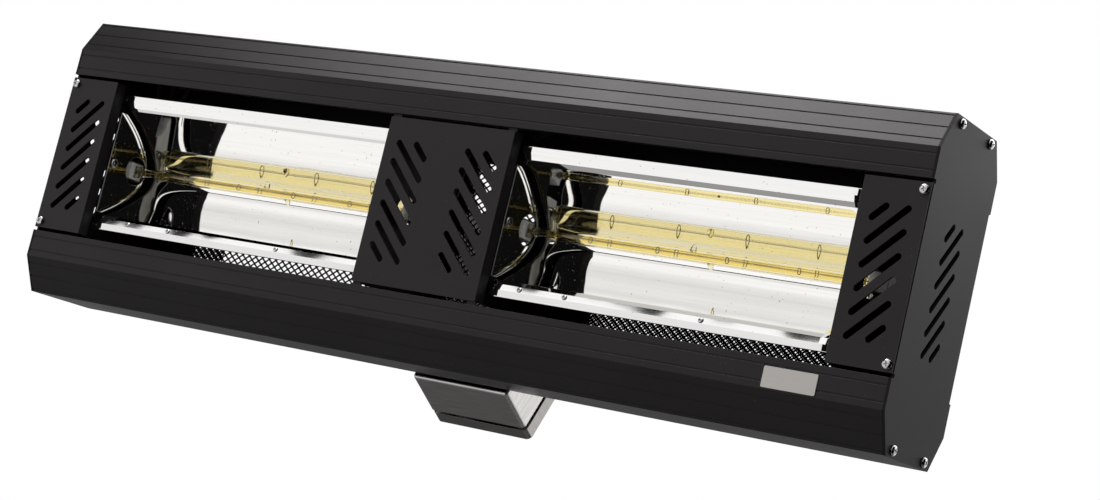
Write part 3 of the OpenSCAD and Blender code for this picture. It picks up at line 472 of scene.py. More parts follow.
def run_tree(tree, material, lengths=None, others=None, mesh=None):
    """Runs a tree on a mesh, with lengths in millimetres, and returns the mesh that it makes."""
    values = {name: length * MM for name, length in (lengths or {}).items()}
    values.update(others or {}, Material=material)
    holder = link("holder", mesh or bpy.data.meshes.new("empty"))
    modifier = holder.modifiers.new("tree", "NODES")
    modifier.node_group = tree
    for socket in tree.interface.items_tree:
        if socket.in_out == "INPUT" and socket.name in values:
            modifier[socket.identifier] = values[socket.name]
    return applied(holder)


def sums(tree):
    """Addition, subtraction, multiplication and division in one tree, as short functions."""
    return [partial(math_node, tree, what) for what in ("ADD", "SUBTRACT", "MULTIPLY", "DIVIDE")]


def seal(tree, geometry):
    """Every tree ends the same way: real geometry and its material."""
    real = add(tree, "GeometryNodeRealizeInstances", {"Geometry": geometry}).outputs["Geometry"]
    material = tree.nodes["Group Input"].outputs["Material"]
    done = add(tree, "GeometryNodeSetMaterial", {"Geometry": real, "Material": material})
    add(tree, "NodeGroupOutput", {"Geometry": done.outputs["Geometry"]})


# %% [markdown]
# The reflector is a parabola drawn out into a trough, as deep as the solid's. What the mirrors show
# of the lamp tells more: the sheet is a little deeper behind the lamp and below its upper rim, so
# the lamp's image lies above it. The rule bends a flat grid: a parabola and three soft steps, then a
# straight bend, a sloping band and a flat lip.

# %% The trough's rule as a tree
OUTER_PLATE, INNER_PLATE = 304.3, 51.2
CHAMBER_X = (OUTER_PLATE + INNER_PLATE) / 2
TROUGH_DEPTH, FOUR_FOCALS = 52.0, 40.4
LIP_Y, LIP_HALF, LIP_RETURN = 10.0, 50.6, 4.0
TROUGH = {
    "Length": OUTER_PLATE - INNER_PLATE - 2 * 0.1,
    "Width": 2 * LIP_HALF,
    "Depth": TROUGH_DEPTH,
    "Four focal lengths": FOUR_FOCALS,
    "Middle depth more": 2.4,
    "Upper reach": 20,
    "Lower reach": 28,
    "Rim peak": 34,
    "Bend": 42,
    "Bend depth": 11.4,
    "Lip": 46,
    "Lip depth": LIP_Y,
    "Rim": 40.0,
    "Rim depth more": 0.2,
}
trough_tree, put, size = new_tree("trough", TROUGH)
plus, minus, times, over = sums(trough_tree)
points = {"Size X": size["Length"], "Size Y": size["Width"], "Vertices X": 26, "Vertices Y": 507}
grid = put("GeometryNodeMeshGrid", points)
xyz = put("ShaderNodeSeparateXYZ", {"Vector": put("GeometryNodeInputPosition").outputs["Position"]})
height = xyz.outputs["Y"]
off_middle = math_node(trough_tree, "ABSOLUTE", height)


def step(value, start, end, low, high, kind="SMOOTHSTEP"):
    """A step from low to high between two places, soft or straight."""
    limits = {"Value": value, "From Min": start, "From Max": end, "To Min": low, "To Max": high}
    return put("ShaderNodeMapRange", limits, interpolation_type=kind).outputs["Result"]


def choose(test, inside, outside):
    return plus(times(test, inside), times(minus(1.0, test), outside))


def bowl(place):
    return minus(size["Depth"], over(times(place, place), size["Four focal lengths"]))


is_upper = math_node(trough_tree, "GREATER_THAN", height, 0.0)
more_above = step(off_middle, 0.0, size["Upper reach"], size["Middle depth more"], 0.0)
more_below = step(off_middle, 0.0, size["Lower reach"], size["Middle depth more"], 0.0)
rise = step(height, size["Upper reach"], size["Rim peak"], 0.0, size["Rim depth more"])
rim_more = times(rise, step(height, size["Rim peak"], size["Rim"], 1.0, 0.0))
curve = plus(bowl(height), choose(is_upper, plus(more_above, rim_more), more_below))
bend = step(off_middle, size["Rim"], size["Bend"], bowl(size["Rim"]), size["Bend depth"], "LINEAR")
band = step(off_middle, size["Bend"], size["Lip"], size["Bend depth"], size["Lip depth"], "LINEAR")
in_bend = math_node(trough_tree, "LESS_THAN", off_middle, size["Bend"])
in_curve = math_node(trough_tree, "LESS_THAN", off_middle, size["Rim"])
depth = choose(in_curve, curve, choose(in_bend, bend, band))
bent = put("ShaderNodeCombineXYZ", {"X": xyz.outputs["X"], "Y": depth, "Z": height}).outputs[0]
moved = put("GeometryNodeSetPosition", {"Geometry": grid.outputs["Mesh"], "Position": bent})
seal(trough_tree, moved.outputs["Geometry"])
print("trough tree: nodes", len(trough_tree.nodes))

# %% [markdown]
# Both troughs come from one set of sizes. The right one's mirror shows the lamp a second time below
# its upper rim, so that rim is a little deeper there. A short edge is folded back from each lip, and
# Solidify gives the sheet its 0.6 mm.

# %% Both troughs


def at_lip(vert):
    return abs(abs(vert.co.z) - LIP_HALF * MM) < 1e-5


SHEET = 0.6
for side, name, rim in ((-1, "left", {}), (1, "right", {"Rim": 39.1, "Rim depth more": 1.4})):
    mesh = run_tree(trough_tree, mirror, TROUGH | rim)
    bm = bmesh.new()
    bm.from_mesh(mesh)
    edges = [e for e in bm.edges if e.is_boundary and all(at_lip(v) for v in e.verts)]
    folded = bmesh.ops.extrude_edge_only(bm, edges=edges)["geom"]
    folded = [g for g in folded if isinstance(g, bmesh.types.BMVert)]
    bmesh.ops.translate(bm, vec=(0, LIP_RETURN * MM, 0), verts=folded)
    bmesh.ops.translate(bm, vec=(side * CHAMBER_X * MM, 0, 0), verts=bm.verts)
    bmesh.ops.recalc_face_normals(bm, faces=bm.faces)
    middle = min(bm.faces, key=lambda f: abs(f.calc_center_median().z))
    if middle.normal.y > 0:
        bmesh.ops.reverse_faces(bm, faces=bm.faces)
    bm.to_mesh(mesh)
    bm.free()
    mesh.transform(HEATER)
    trough = finish_mesh(f"trough_{name}", mesh, mirror, f"reflector_{name}", smooth=12)
    wall = trough.modifiers.new("sheet", "SOLIDIFY")
    wall.thickness = SHEET * MM
    wall.offset = -1
    print(f"trough {name}: faces", len(mesh.polygons))

# %% [markdown]
# Round pieces are turned on a lathe or drawn as tube, so they are made here in the same way: a half
# outline is spun round an axis, and faces join one ring of points to the next.

# %% Lathe helper


def turned_point(radius, angle, height):
    return (radius * MM * math.cos(angle), radius * MM * math.sin(angle), height * MM)


def skin(bm, rings):
    """Joins rings of points with faces; a ring of one point is a tip."""
    for lower, upper in zip(rings, rings[1:]):
        for k in range(max(len(lower), len(upper))):
            low, high = k % len(lower), k % len(upper)
            corners = [lower[low], lower[(k + 1) % len(lower)], upper[(k + 1) % len(upper)], upper[high]]
            distinct = list(dict.fromkeys(corners))
            if len(distinct) > 2:
                bm.faces.new(distinct)


def lathe(outline, segments=32):
    """Spins (radius, height) points in millimetres round Z; faces point outwards."""
    bm = bmesh.new()
    angles = [math.tau * k / segments for k in range(segments)]
    rings = [
        [bm.verts.new(turned_point(radius, a, height)) for a in (angles if radius else [0.0])]
        for radius, height in outline
    ]
    skin(bm, rings)
    bmesh.ops.recalc_face_normals(bm, faces=bm.faces)
    return bm


def as_mesh(bm, name):
    mesh = bpy.data.meshes.new(name)
    bm.to_mesh(mesh)
    bm.free()
    return mesh


def join(bm, other, matrix=None):
    """Adds another bmesh to this one."""
    if matrix:
        other.transform(matrix)
    bm.from_mesh(as_mesh(other, "part"))


def block(size, radius, segments=3):
    """A block with rounded edges, centred, in millimetres."""
    bm = bmesh.new()
    bmesh.ops.create_cube(bm, size=1)
    bmesh.ops.scale(bm, vec=Vector(size) * MM, verts=bm.verts)
    bmesh.ops.bevel(bm, geom=bm.edges, offset=radius * MM, segments=segments, profile=0.5, affect="EDGES")
    return bm


# %% [markdown]
# The lamp is a tube with rounded shoulders, and a small drop on its back where it was sealed off
# after filling. At each end the hot quartz was pressed flat round a thin metal foil, which carries
# the current through the glass.

# %% Quartz tubes
LAMP_Y = TROUGH_DEPTH - FOUR_FOCALS / 4
LAMP_HALF = (OUTER_PLATE - INNER_PLATE) / 2 + 0.7
TUBE_HALF = LAMP_HALF - 2.5
TUBE_R, TUBE_WALL = 3.5, 0.9
PINCH = LAMP_HALF - TUBE_HALF + 2
ALONG_X = Matrix.Rotation(math.radians(90), 4, "Y")
SIDES = (-1, 1)


def shift(x, y, z):
    return Matrix.Translation((x * MM, y * MM, z * MM))


def on_lamp(side):
    """Carries a lamp piece, drawn along Z, to the line of one lamp."""
    return HEATER @ shift(side * CHAMBER_X, LAMP_Y, 0) @ ALONG_X


def tube_outline(radius, half, reach, steps=8):
    right = [
        (radius * math.cos(a), half - reach + reach * math.sin(a))
        for a in (math.pi / 2 * k / steps for k in range(steps + 1))
    ]
    right[-1] = (0, half)
    return [(r, -h) for r, h in reversed(right)] + right


for side, name in zip(SIDES, ("left", "right")):
    bm = lathe(tube_outline(TUBE_R, TUBE_HALF, 5), 48)
    inside = lathe(tube_outline(TUBE_R - TUBE_WALL, TUBE_HALF - 2, 4.5), 48)
    bmesh.ops.reverse_faces(inside, faces=inside.faces)
    join(bm, inside)
    drop = lathe([(0, 2.7), (2.1, 2.8), (1.9, 4.0), (1.6, 5.2), (1.15, 6.4), (0.6, 7.1), (0, 7.4)], 20)
    join(bm, drop, Matrix.Rotation(math.radians(-90), 4, "Y"))
    for end in SIDES:
        join(bm, block((8.6, 2.6, PINCH), 1.1), shift(0, 0, end * (TUBE_HALF - 2 + PINCH / 2)))
    bm.transform(on_lamp(side))
    finish_mesh(f"quartz_tube_{name}", as_mesh(bm, "tube"), quartz, f"lamp_tube_{name}")
    foils = bmesh.new()
    for end in SIDES:
        join(foils, block((3, 0.3, 1.9), 0.1, 1), shift(0, 0, end * (TUBE_HALF + 1.3)))
        join(foils, lathe([(0, -5), (0.4, -5), (0.4, 5), (0, 5)], 8), shift(0, 0, end * (TUBE_HALF - 3)))
    foils.transform(on_lamp(side))
    finish_mesh(f"seal_foils_{name}", as_mesh(foils, "foils"), foil_metal)
print("lamp axis at depth", LAMP_Y, "tube half length", TUBE_HALF)

# %% [markdown]
# The filament is a tungsten coil with a ring every few centimetres that keeps it in the middle of
# the tube. A spiral curve with a round section makes the coil, and the rings are instances on a line.

# %% Filament tree
COIL_LEN, COIL_PITCH = 2 * (TUBE_HALF - 4.5), 1.0
FILAMENT = {"Length": COIL_LEN, "Coil radius": 0.4, "Wire radius": 0.11}
FILAMENT |= {"Ring spacing": 51.4, "Ring radius": 2.1, "Ring wire radius": 0.3}
coil_tree, put, size = new_tree("filament", [*FILAMENT, "Turns"], ["Rings"])
plus, minus, times, over = sums(coil_tree)


def sweep(tree, curve, sides, radius, capped=True):
    """Draws a round section along a curve."""
    circle = {"Resolution": sides, "Radius": radius}
    section = add(tree, "GeometryNodeCurvePrimitiveCircle", circle).outputs["Curve"]
    sizes = {"Curve": curve, "Profile Curve": section, "Fill Caps": capped}
    return add(tree, "GeometryNodeCurveToMesh", sizes).outputs["Mesh"]


def along(z):
    return put("ShaderNodeCombineXYZ", {"Z": z}).outputs[0]


turns = {"Resolution": 10, "Rotations": size["Turns"], "Height": size["Length"]}
turns |= {"Start Radius": size["Coil radius"], "End Radius": size["Coil radius"]}
wire = sweep(coil_tree, put("GeometryNodeCurveSpiral", turns).outputs["Curve"], 5, size["Wire radius"])
middle = along(times(size["Length"], -0.5))
coil = put("GeometryNodeTransform", {"Geometry": wire, "Translation": middle})
hoop = put("GeometryNodeCurvePrimitiveCircle", {"Resolution": 24, "Radius": size["Ring radius"]})
ring = sweep(coil_tree, hoop.outputs["Curve"], 6, size["Ring wire radius"], False)
first = along(times(minus(size["Rings"], 1.0), times(size["Ring spacing"], -0.5)))
spacing = {"Count": size["Rings"], "Start Location": first, "Offset": along(size["Ring spacing"])}
line = put("GeometryNodeMeshLine", spacing).outputs["Mesh"]
rings = put("GeometryNodeInstanceOnPoints", {"Points": line, "Instance": ring})
both = put("GeometryNodeJoinGeometry", {"Geometry": coil.outputs["Geometry"]})
coil_tree.links.new(rings.outputs["Instances"], both.inputs["Geometry"])
seal(coil_tree, both.outputs["Geometry"])

for side, name in zip(SIDES, ("left", "right")):
    mesh = run_tree(coil_tree, tungsten, FILAMENT, {"Turns": COIL_LEN / COIL_PITCH, "Rings": 4})
    mesh.transform(on_lamp(side))
    finish_mesh(f"filament_coil_{name}", mesh, tungsten, f"filament_{name}", smooth=60)
    print(f"filament {name}: faces", len(mesh.polygons))

# %% [markdown]
# Guard mesh is expanded metal: a sheet slit and pulled open into diamonds 6.4 by 5 mm, or half that
# for the fine screen. Each point of a grid carries a small cross, and the arms of the crosses meet as
# the strands.

# %% Guard mesh tree
GUARD = {"Height": 107, "Diamond length": 6.4, "Diamond height": 5, "Strand": 1.05, "Thickness": 0.8}
SCREEN = {"Height": 104, "Diamond length": 3.2, "Diamond height": 2.5, "Strand": 0.95, "Thickness": 0.4}
mesh_tree, put, size = new_tree("guard mesh", ["Width", *GUARD])
plus, minus, times, over = sums(mesh_tree)
pitch_x, pitch_y = size["Diamond length"], size["Diamond height"]
wide = math_node(mesh_tree, "FLOOR", over(size["Width"], pitch_x))
tall = math_node(mesh_tree, "FLOOR", over(size["Height"], pitch_y))
points = {"Size X": times(wide, pitch_x), "Size Y": times(tall, pitch_y)}
points |= {"Vertices X": plus(wide, 1.0), "Vertices Y": plus(tall, 1.0)}
reach = math_node(mesh_tree, "SQRT", plus(times(pitch_x, pitch_x), times(pitch_y, pitch_y)))
strand = put("ShaderNodeCombineXYZ", {"X": reach, "Y": size["Strand"], "Z": size["Thickness"]}).outputs[0]
bar = put("GeometryNodeMeshCube", {"Size": strand}).outputs["Mesh"]
lean = math_node(mesh_tree, "ARCTAN2", pitch_y, pitch_x)
cross = put("GeometryNodeJoinGeometry")
TWIST = 0.35  # pulling the slit sheet open turns its strands about themselves
for way in (1.0, -1.0):
    turned = put("ShaderNodeCombineXYZ", {"X": TWIST, "Z": times(lean, way)}).outputs[0]
    arm = put("GeometryNodeTransform", {"Geometry": bar, "Rotation": turned})
    mesh_tree.links.new(arm.outputs["Geometry"], cross.inputs["Geometry"])
grid = put("GeometryNodeMeshGrid", points).outputs["Mesh"]
places = {"Points": grid, "Instance": cross.outputs["Geometry"]}
seal(mesh_tree, put("GeometryNodeInstanceOnPoints", places).outputs["Instances"])
print("mesh tree: nodes", len(mesh_tree.nodes))

# %% [markdown]
# The guard mesh covers the three windows in the back panel. A finer screen lies before the whole
# right window and the outer end of the left one, where the photograph is darker.

# %% Three pieces of guard mesh
FACING = Matrix.Rotation(math.radians(90), 4, "X")
WINDOW_IN, WINDOW_OUT, CENTRE_HALF, FINE_IN = 84.2, 271.3, 46.2, 240
GUARD_Y, SCREEN_Y, OVERLAP = 87.15, 85.9, 7


def lattice(name, kind, x0, x1, y, overlap=0, node=None):
    mesh = run_tree(mesh_tree, cover_black, {**kind, "Width": x1 - x0 + overlap})
    mesh.transform(HEATER @ shift((x0 + x1) / 2, y, 0) @ FACING)
    finish_mesh(name, mesh, cover_black, node)
    print(name, "faces", len(mesh.polygons))


for node, x0, x1 in (
    ("mesh_left", -WINDOW_OUT, -WINDOW_IN),
    ("mesh_centre", -CENTRE_HALF, CENTRE_HALF),
    ("mesh_right", WINDOW_IN, WINDOW_OUT),
):
    lattice("guard_" + node, GUARD, x0, x1, GUARD_Y, OVERLAP, node)
lattice("fine_screen_left", SCREEN, -WINDOW_OUT, -FINE_IN, SCREEN_Y)
lattice("fine_screen_right", SCREEN, WINDOW_IN, WINDOW_OUT, SCREEN_Y)

# %% [markdown]
# Screws, nuts, washers and rivets each exist once as a small mesh. A tree puts a copy on every point
# of a cloud, turned so that its head looks along the arrow stored there, with its recess turned by
# chance as a screwdriver leaves it.

# %% Fastener tree
fastener_tree, put, size = new_tree("fasteners", ("Largest turn",), ("Seed",), ("Piece",))
piece = put("GeometryNodeObjectInfo", {"Object": size["Piece"]}).outputs["Geometry"]
arrow = put("GeometryNodeInputNamedAttribute", {"Name": "arrow"}, data_type="FLOAT_VECTOR")
look = put("FunctionNodeAlignRotationToVector", {"Vector": arrow.outputs["Attribute"]}, axis="Z")
limits = {2: 0.0, 3: size["Largest turn"], "Seed": size["Seed"]}
chance = put("FunctionNodeRandomValue", limits, data_type="FLOAT").outputs[1]
about = put("FunctionNodeAxisAngleToRotation", {"Axis": (0, 0, 1), "Angle": chance})
turns = {"Rotation": look.outputs["Rotation"], "Rotate By": about.outputs["Rotation"]}
turned = put("FunctionNodeRotateRotation", turns, rotation_space="LOCAL").outputs["Rotation"]
places = {"Points": size["Geometry"], "Instance": piece, "Rotation": turned}
seal(fastener_tree, put("GeometryNodeInstanceOnPoints", places).outputs["Instances"])


def fasten(name, pattern, places, node=None, material=zinc, matrix=HEATER, body="heater"):
    """Copies a pattern mesh to every (point, arrow) in millimetres, turned by chance."""
    cloud = bpy.data.meshes.new("cloud")
    cloud.from_pydata([[c * MM for c in point] for point, _ in places], [], [])
    arrows = cloud.attributes.new("arrow", "FLOAT_VECTOR", "POINT")
    for item, (_, direction) in zip(arrows.data, places):
        item.vector = direction
    model = link("model", pattern)
    chosen = {"Piece": model, "Largest turn": 3.0, "Seed": 7}
    mesh = run_tree(fastener_tree, material, others=chosen, mesh=cloud)
    bpy.data.objects.remove(model)
    mesh.transform(matrix)
    finish_mesh(name, mesh, material, node, 35, body=body)
    print(name, "pieces", len(places), "faces", len(mesh.polygons))


# %% [markdown]
# A pan head is turned, and its cross recess is pressed in: here two tapered bars are cut out of the
# lathe shape. Nuts and bolt heads are hexagons whose corners are turned off at 30 degrees, which
# leaves the curved edges seen on every real nut.

# %% Patterns: a cross-recessed screw, a hexagon and a washer


def cut(bm, *cutters):
    """Takes the cutters out of a solid with Boolean modifiers and returns the plain mesh."""
    body = link("body", as_mesh(bm, "body"))
    tools = [link("tool", as_mesh(cutter, "tool")) for cutter in cutters]
    for tool in tools:
        modifier = body.modifiers.new("cut", "BOOLEAN")
        modifier.operation = "DIFFERENCE"
        modifier.solver = "EXACT"
        modifier.object = tool
    mesh = applied(body)
    for tool in tools:
        bpy.data.objects.remove(tool)
    return mesh


def recess(turn, top_width=3.9, bottom_width=1.5, slot=0.85, depth=1.35, head=2.2):
    """One bar of a cross recess: it narrows towards the bottom."""
    bm = bmesh.new()
    corners = ((-1, -1), (1, -1), (1, 1), (-1, 1))
    rings = [
        [bm.verts.new((x * width / 2 * MM, y * thick / 2 * MM, height * MM)) for x, y in corners]
        for width, thick, height in ((bottom_width, slot * 0.7, head - depth), (top_width, slot, head + 0.4))
    ]
    bm.faces.new(list(reversed(rings[0])))
    bm.faces.new(rings[1])
    skin(bm, rings)
    bm.transform(Matrix.Rotation(turn, 4, "Z"))
    return bm


def pan_screw(shank):
    outline = [(0, -shank), (1.2, -shank), (1.45, 0.4 - shank), (1.45, 0), (3.05, 0), (3.3, 0.25), (3.3, 0.8)]
    outline += [(3.12, 1.35), (2.65, 1.8), (1.9, 2.08), (1.0, 2.19), (0, 2.2)]
    return cut(lathe(outline, 32), recess(0), recess(math.pi / 2))


def hexagon(corner_radius, height, bore=0.0, chamfer_below=True, segments=48):
    """A hexagonal nut or head whose corners are turned off in a cone."""
    sixth = math.pi / 6
    flat = corner_radius * math.cos(sixth)
    drop = (corner_radius - flat) * math.tan(math.radians(30))

    def to_side(angle):
        return flat / math.cos(sixth - abs((angle + sixth) % (math.pi / 3) - sixth))

    cone = [(flat + (corner_radius - flat) * s, drop * s) for s in (0.0, 0.35, 0.7, 1.0)]
    levels = [(0.97 * flat, 0.0), *cone] if chamfer_below else [(corner_radius, 0.0)]
    levels += [(limit, height - level) for limit, level in reversed(cone)] + [(0.97 * flat, height)]
    bm = bmesh.new()
    angles = [math.tau * k / segments for k in range(segments)]
    rings = [
        [bm.verts.new(turned_point(min(to_side(a), limit), a, level)) for a in angles]
        for limit, level in levels
    ]
    if bore:
        for radius, level in ((bore + 0.5, height), (bore, height - 0.5), (bore, 0.5), (bore + 0.5, 0)):
            rings.append([bm.verts.new(turned_point(radius, a, level)) for a in angles])
        rings.append(rings[0])
    skin(bm, rings)
    if not bore:
        bm.faces.new(rings[-1])
        bm.faces.new(list(reversed(rings[0])))
    bmesh.ops.recalc_face_normals(bm, faces=bm.faces)
    return bm


def washer(outer, inner, height, ease=0.2):
    outline = [(inner, 0), (outer - ease, 0), (outer, ease), (outer, height - ease), (outer - ease, height)]
    return lathe(outline + [(inner, height), (inner, 0)], 40)


long_screw, short_screw = pan_screw(8), pan_screw(4)
print("screw faces", len(long_screw.polygons))

# %% [markdown]
# Eight screws hold the end plates and four the outer covers. Each lamp plate and each clip has one,
# and the terminals have four. A place is a point on the upright heater and the way the head looks.

# %% Screws in their places
ENDS = ((-304.3, -1), (-51.2, 1), (51.2, -1), (304.3, 1))
CLIP_SCREW_Y = LAMP_Y + 12 / 2 + 9
BOX_X = (OUTER_PLATE + 1 + 348) / 2
TERMINALS = [-BOX_X + (k - 1.5) * 8 for k in range(4)]
AT_ENDS = [((s * 350, y, z * 99.5), (s, 0, 0)) for s in SIDES for y in (22, 68.5) for z in SIDES]
AT_GRILLES = [((s * 345.5, 0, z * 52.8), (0, -1, 0)) for s in SIDES for z in SIDES]
for part, pattern, places in (
    ("end_plate", long_screw, AT_ENDS),
    ("grille", long_screw, AT_GRILLES),
    ("lamp_plate", short_screw, [((x - 0.8 * way, 15.5, 0), (-way, 0, 0)) for x, way in ENDS]),
    ("clip", short_screw, [((x + 1.8 * way, CLIP_SCREW_Y, 0), (way, 0, 0)) for x, way in ENDS]),
    ("terminal", short_screw, [((x, 72, 35), (0, -1, 0)) for x in TERMINALS]),
):
    fasten(part + "_pan_screws", pattern, places, part + "_screws")

# %% [markdown]
# The arm hangs on four studs of the wall plate, with a tube, a washer and a nut on each. Two M8
# bolts a side carry the heater: one is the pivot, the other clamps it in its slot.

# %% Nuts, washers and bolts of the bracket
STUDS = [(x, z) for x in (-26, 26) for z in (-45, 25.717)]
WALL = Matrix.Identity(4)
for name, pattern, y, node in (
    ("stud_nuts", hexagon(5.77, 5, 3.05), -16.1, "arm_nuts"),
    ("stud_washers", washer(6, 3.3, 1.6), -14.5, "arm_washers"),
    ("stud_tubes", washer(6, 3.05, 10.5, 0.3), -2, "stud_spacers"),
):
    places = [((x, y, z), (0, -1, 0)) for x, z in STUDS]
    fasten(name, as_mesh(pattern, name), places, node, zinc, WALL, "wall_bracket")


def hex_bolt(length, plain=8.0, pitch=1.25):
    """A bolt with a hexagonal head, a plain shank and a thread drawn as rings."""
    bm = hexagon(7.5, 5.3, chamfer_below=False)
    thread = [(4.0, 0.0), (4.0, -plain)]
    level = -plain
    while level - pitch > -length + 1:
        thread += [(3.45, level - pitch * 0.5), (4.0, level - pitch)]
        level -= pitch
    thread += [(3.3, -length), (0, -length)]
    join(bm, lathe([(0, 0.2), (4.0, 0.2)] + thread, 24))
    return bm


PIVOT_AT, CLAMP_AT = (108.0, 0.0), (134.87, -26.87)
BOLT_LEN = 40 + 1.6 - 36.6 + 2.5 + 6.5 + 2


def both_sides(x, *places):
    return [((s * x, y, z), (s, 0, 0)) for s in SIDES for y, z in places]


for name, pattern, places, node in (
    ("pivot_hex_bolts", hex_bolt(BOLT_LEN), both_sides(41.6, PIVOT_AT), "pivot_bolts"),
    ("clamp_hex_bolts", hex_bolt(BOLT_LEN), both_sides(41.6, CLAMP_AT), "clamp_bolts"),
    ("bolt_nuts", hexagon(7.5, 6.5, 4.05), both_sides(27.6, PIVOT_AT, CLAMP_AT), "clamp_nuts"),
    ("bolt_washers", washer(8.4, 4.05, 1.6), both_sides(40, PIVOT_AT, CLAMP_AT), "clamp_washers"),
):
    fasten(name, as_mesh(pattern, name), places, node)

# %% [markdown]
# Blind rivets hold the back panel and the edges of the reflectors: a low dome, and in its middle the
# end of the pin that was pulled through.

# %% Rivets


def dome(radius, height, tail=0.0, tail_radius=1.6):
    """A blind rivet: a low dome with the small dimple that the pulled pin leaves."""
    outline = [(0, height * 0.55), (0.75, height * 0.55), (0.85, height)]
    outline += [(radius * math.sin(a), height * math.cos(a)) for a in (0.5, 0.8, 1.1, 1.35, math.pi / 2)]
    outline += [(tail_radius, 0), (tail_radius, -tail), (0, -tail)]
    return lathe(list(reversed(outline)), 24)


RIVET_X = (332.5, 189, 63)
fasten(
    "back_panel_rivets",
    as_mesh(dome(2.9, 1.0, 3.2), "rivet"),
    [((s * x, 91, z), (0, 1, 0)) for s in SIDES for x in RIVET_X for z in (-62.3, 62.3)],
    "back_rivets",
    cover_black,
)
BAND_MIDDLE, BAND_Z = 10.6, 44.0
INTO_TROUGH = Vector((0, -4.0, 1.4)).normalized()
fasten(
    "reflector_rivets",
    as_mesh(dome(1.9, 0.9, 1.2, 1.2), "rivet"),
    [((x, BAND_MIDDLE, -BAND_Z), INTO_TROUGH) for x in (-270, -231, -130, 76, 111, 212)]
    + [((x, LIP_Y + 2.2, LIP_HALF), (0, 0, 1)) for x in (-128, -109, 211, 230.5)],
)

# %% [markdown]
# The lamp leads wear woven glass sleeves. A lead's route is a smooth curve through a few points, and
# a tree gives the curve its round section.

# %% Sleeve tree
wire_tree, put, size = new_tree("sleeve", ("Radius",), ("Sides",))
path = put("GeometryNodeMeshToCurve", {"Mesh": size["Geometry"]}).outputs["Curve"]
seal(wire_tree, sweep(wire_tree, path, size["Sides"], size["Radius"]))


def through(points, steps=8):
    """A smooth line through the points, as a Catmull-Rom spline."""
    route = []
    for a, b, c, d in zip([points[0]] + points, points, points[1:], points[2:] + [points[-1]]):
        square, cube = 2 * a - 5 * b + 4 * c - d, 3 * b - a - 3 * c + d
        for s in (k / steps for k in range(steps)):
            route.append(0.5 * (2 * b + (c - a) * s + square * s**2 + cube * s**3))
    return route + [points[-1]]


# %% [markdown]
# Each lead leaves its ceramic cap, climbs behind the reflector, and runs along the upper extrusion to
# its terminal at the left end. The lead nearest the terminals goes there straight. Four depths, 7 mm
# apart, keep the leads clear of each other.

# %% Four leads
STEP, SLEEVE_R, LEAD_Z = 7.0, 1.6, 76.0
LEAD_BACK = 91 - 2 - 5.6 - 1.5 - SLEEVE_R - 4.4  # casing, wall, hook, panel, sleeve, gap
CAP_END, TERMINAL_Y, TERMINAL_Z, CLIMB = 22.7, 78.8, 46, 60
LEADS = ("lead_left_outer", "lead_left_inner", "lead_right_inner", "lead_right_outer")
for k, (node, (x, way)) in enumerate(zip(LEADS, ENDS)):
    a = Vector((x + way * CAP_END, LAMP_Y, 0))
    b = Vector((TERMINALS[k], TERMINAL_Y, TERMINAL_Z))
    points = [a, a + Vector((way * STEP, 0, 0)), a + Vector((way * 1.7 * STEP, STEP / 2, 2 * STEP))]
    if k == 0:
        points += [
            Vector((a.x - 2 * STEP + 1, (a.y + b.y) / 2, b.z)),
            Vector((b.x, b.y - STEP, b.z + 2 * STEP)),
        ]
    else:
        back = LEAD_BACK - (3 - k) * STEP
        points += [
            a + Vector((way * 1.7 * STEP, STEP, CLIMB - 2 * STEP)),
            Vector((a.x + way * STEP, back, LEAD_Z - STEP)),
            Vector((a.x - STEP, back, LEAD_Z)),
            Vector(((a.x + b.x) / 2, back, LEAD_Z)),
            Vector((b.x + 3 * STEP, back, LEAD_Z)),
            Vector((b.x + STEP, back + 1, LEAD_Z - STEP / 2)),
        ]
    points += [b + Vector((0, 0, STEP)), b + Vector((0, 0, SLEEVE_R)), b - Vector((0, 0, 2 * SLEEVE_R))]
    route = through(points)
    line_mesh = bpy.data.meshes.new("route")
    line_mesh.from_pydata([p * MM for p in route], [(i, i + 1) for i in range(len(route) - 1)], [])
    mesh = run_tree(wire_tree, sleeve, {"Radius": SLEEVE_R}, {"Sides": 14}, line_mesh)
    mesh.transform(HEATER)
    finish_mesh(node + "_sleeve", mesh, sleeve, node, smooth=60)
    length = sum((q - p).length for p, q in zip(route, route[1:]))
    print(node, "length", round(length), "mm")

# %% [markdown]
# The small plate on the lower extrusion is satin anodised aluminium, 0.6 mm thick with rounded
# corners and a softened rim. It is left bare.

# %% Bare plate


def flat_plate(width, height, corner, thickness, ease):
    """A plate in the XY plane with round corners and an eased front rim."""
    bm = bmesh.new()
    ring = []
    for cx, cy, start_angle in ((1, 1, 0), (-1, 1, 90), (-1, -1, 180), (1, -1, 270)):
        for k in range(7):
            angle = math.radians(start_angle + 15 * k)
            x = cx * (width / 2 - corner) + corner * math.cos(angle)
            ring.append((x, cy * (height / 2 - corner) + corner * math.sin(angle)))
    levels = ((0, 0.0), (0, thickness - ease), (ease * 0.3, thickness - ease * 0.3), (ease, thickness))
    loops = []
    for inset, level in levels:
        scale_x, scale_y = 1 - 2 * inset / width, 1 - 2 * inset / height
        loops.append([bm.verts.new((x * scale_x * MM, y * scale_y * MM, level * MM)) for x, y in ring])
    skin(bm, loops)
    bm.faces.new(list(reversed(loops[0])))
    bm.faces.new(loops[-1])
    bmesh.ops.recalc_face_normals(bm, faces=bm.faces)
    return bm


bare = flat_plate(36.5, 13.1, 1.0, 0.6, 0.15)
PLATE_X, PLATE_Z = 285.85, -72.25
bare.transform(HEATER @ shift(PLATE_X, 0, PLATE_Z) @ FACING)
plate = finish_mesh("bare_plate", as_mesh(bare, "bare"), plate_finish, smooth=40, weighted=True)
print("bare plate faces", len(plate.data.polygons))

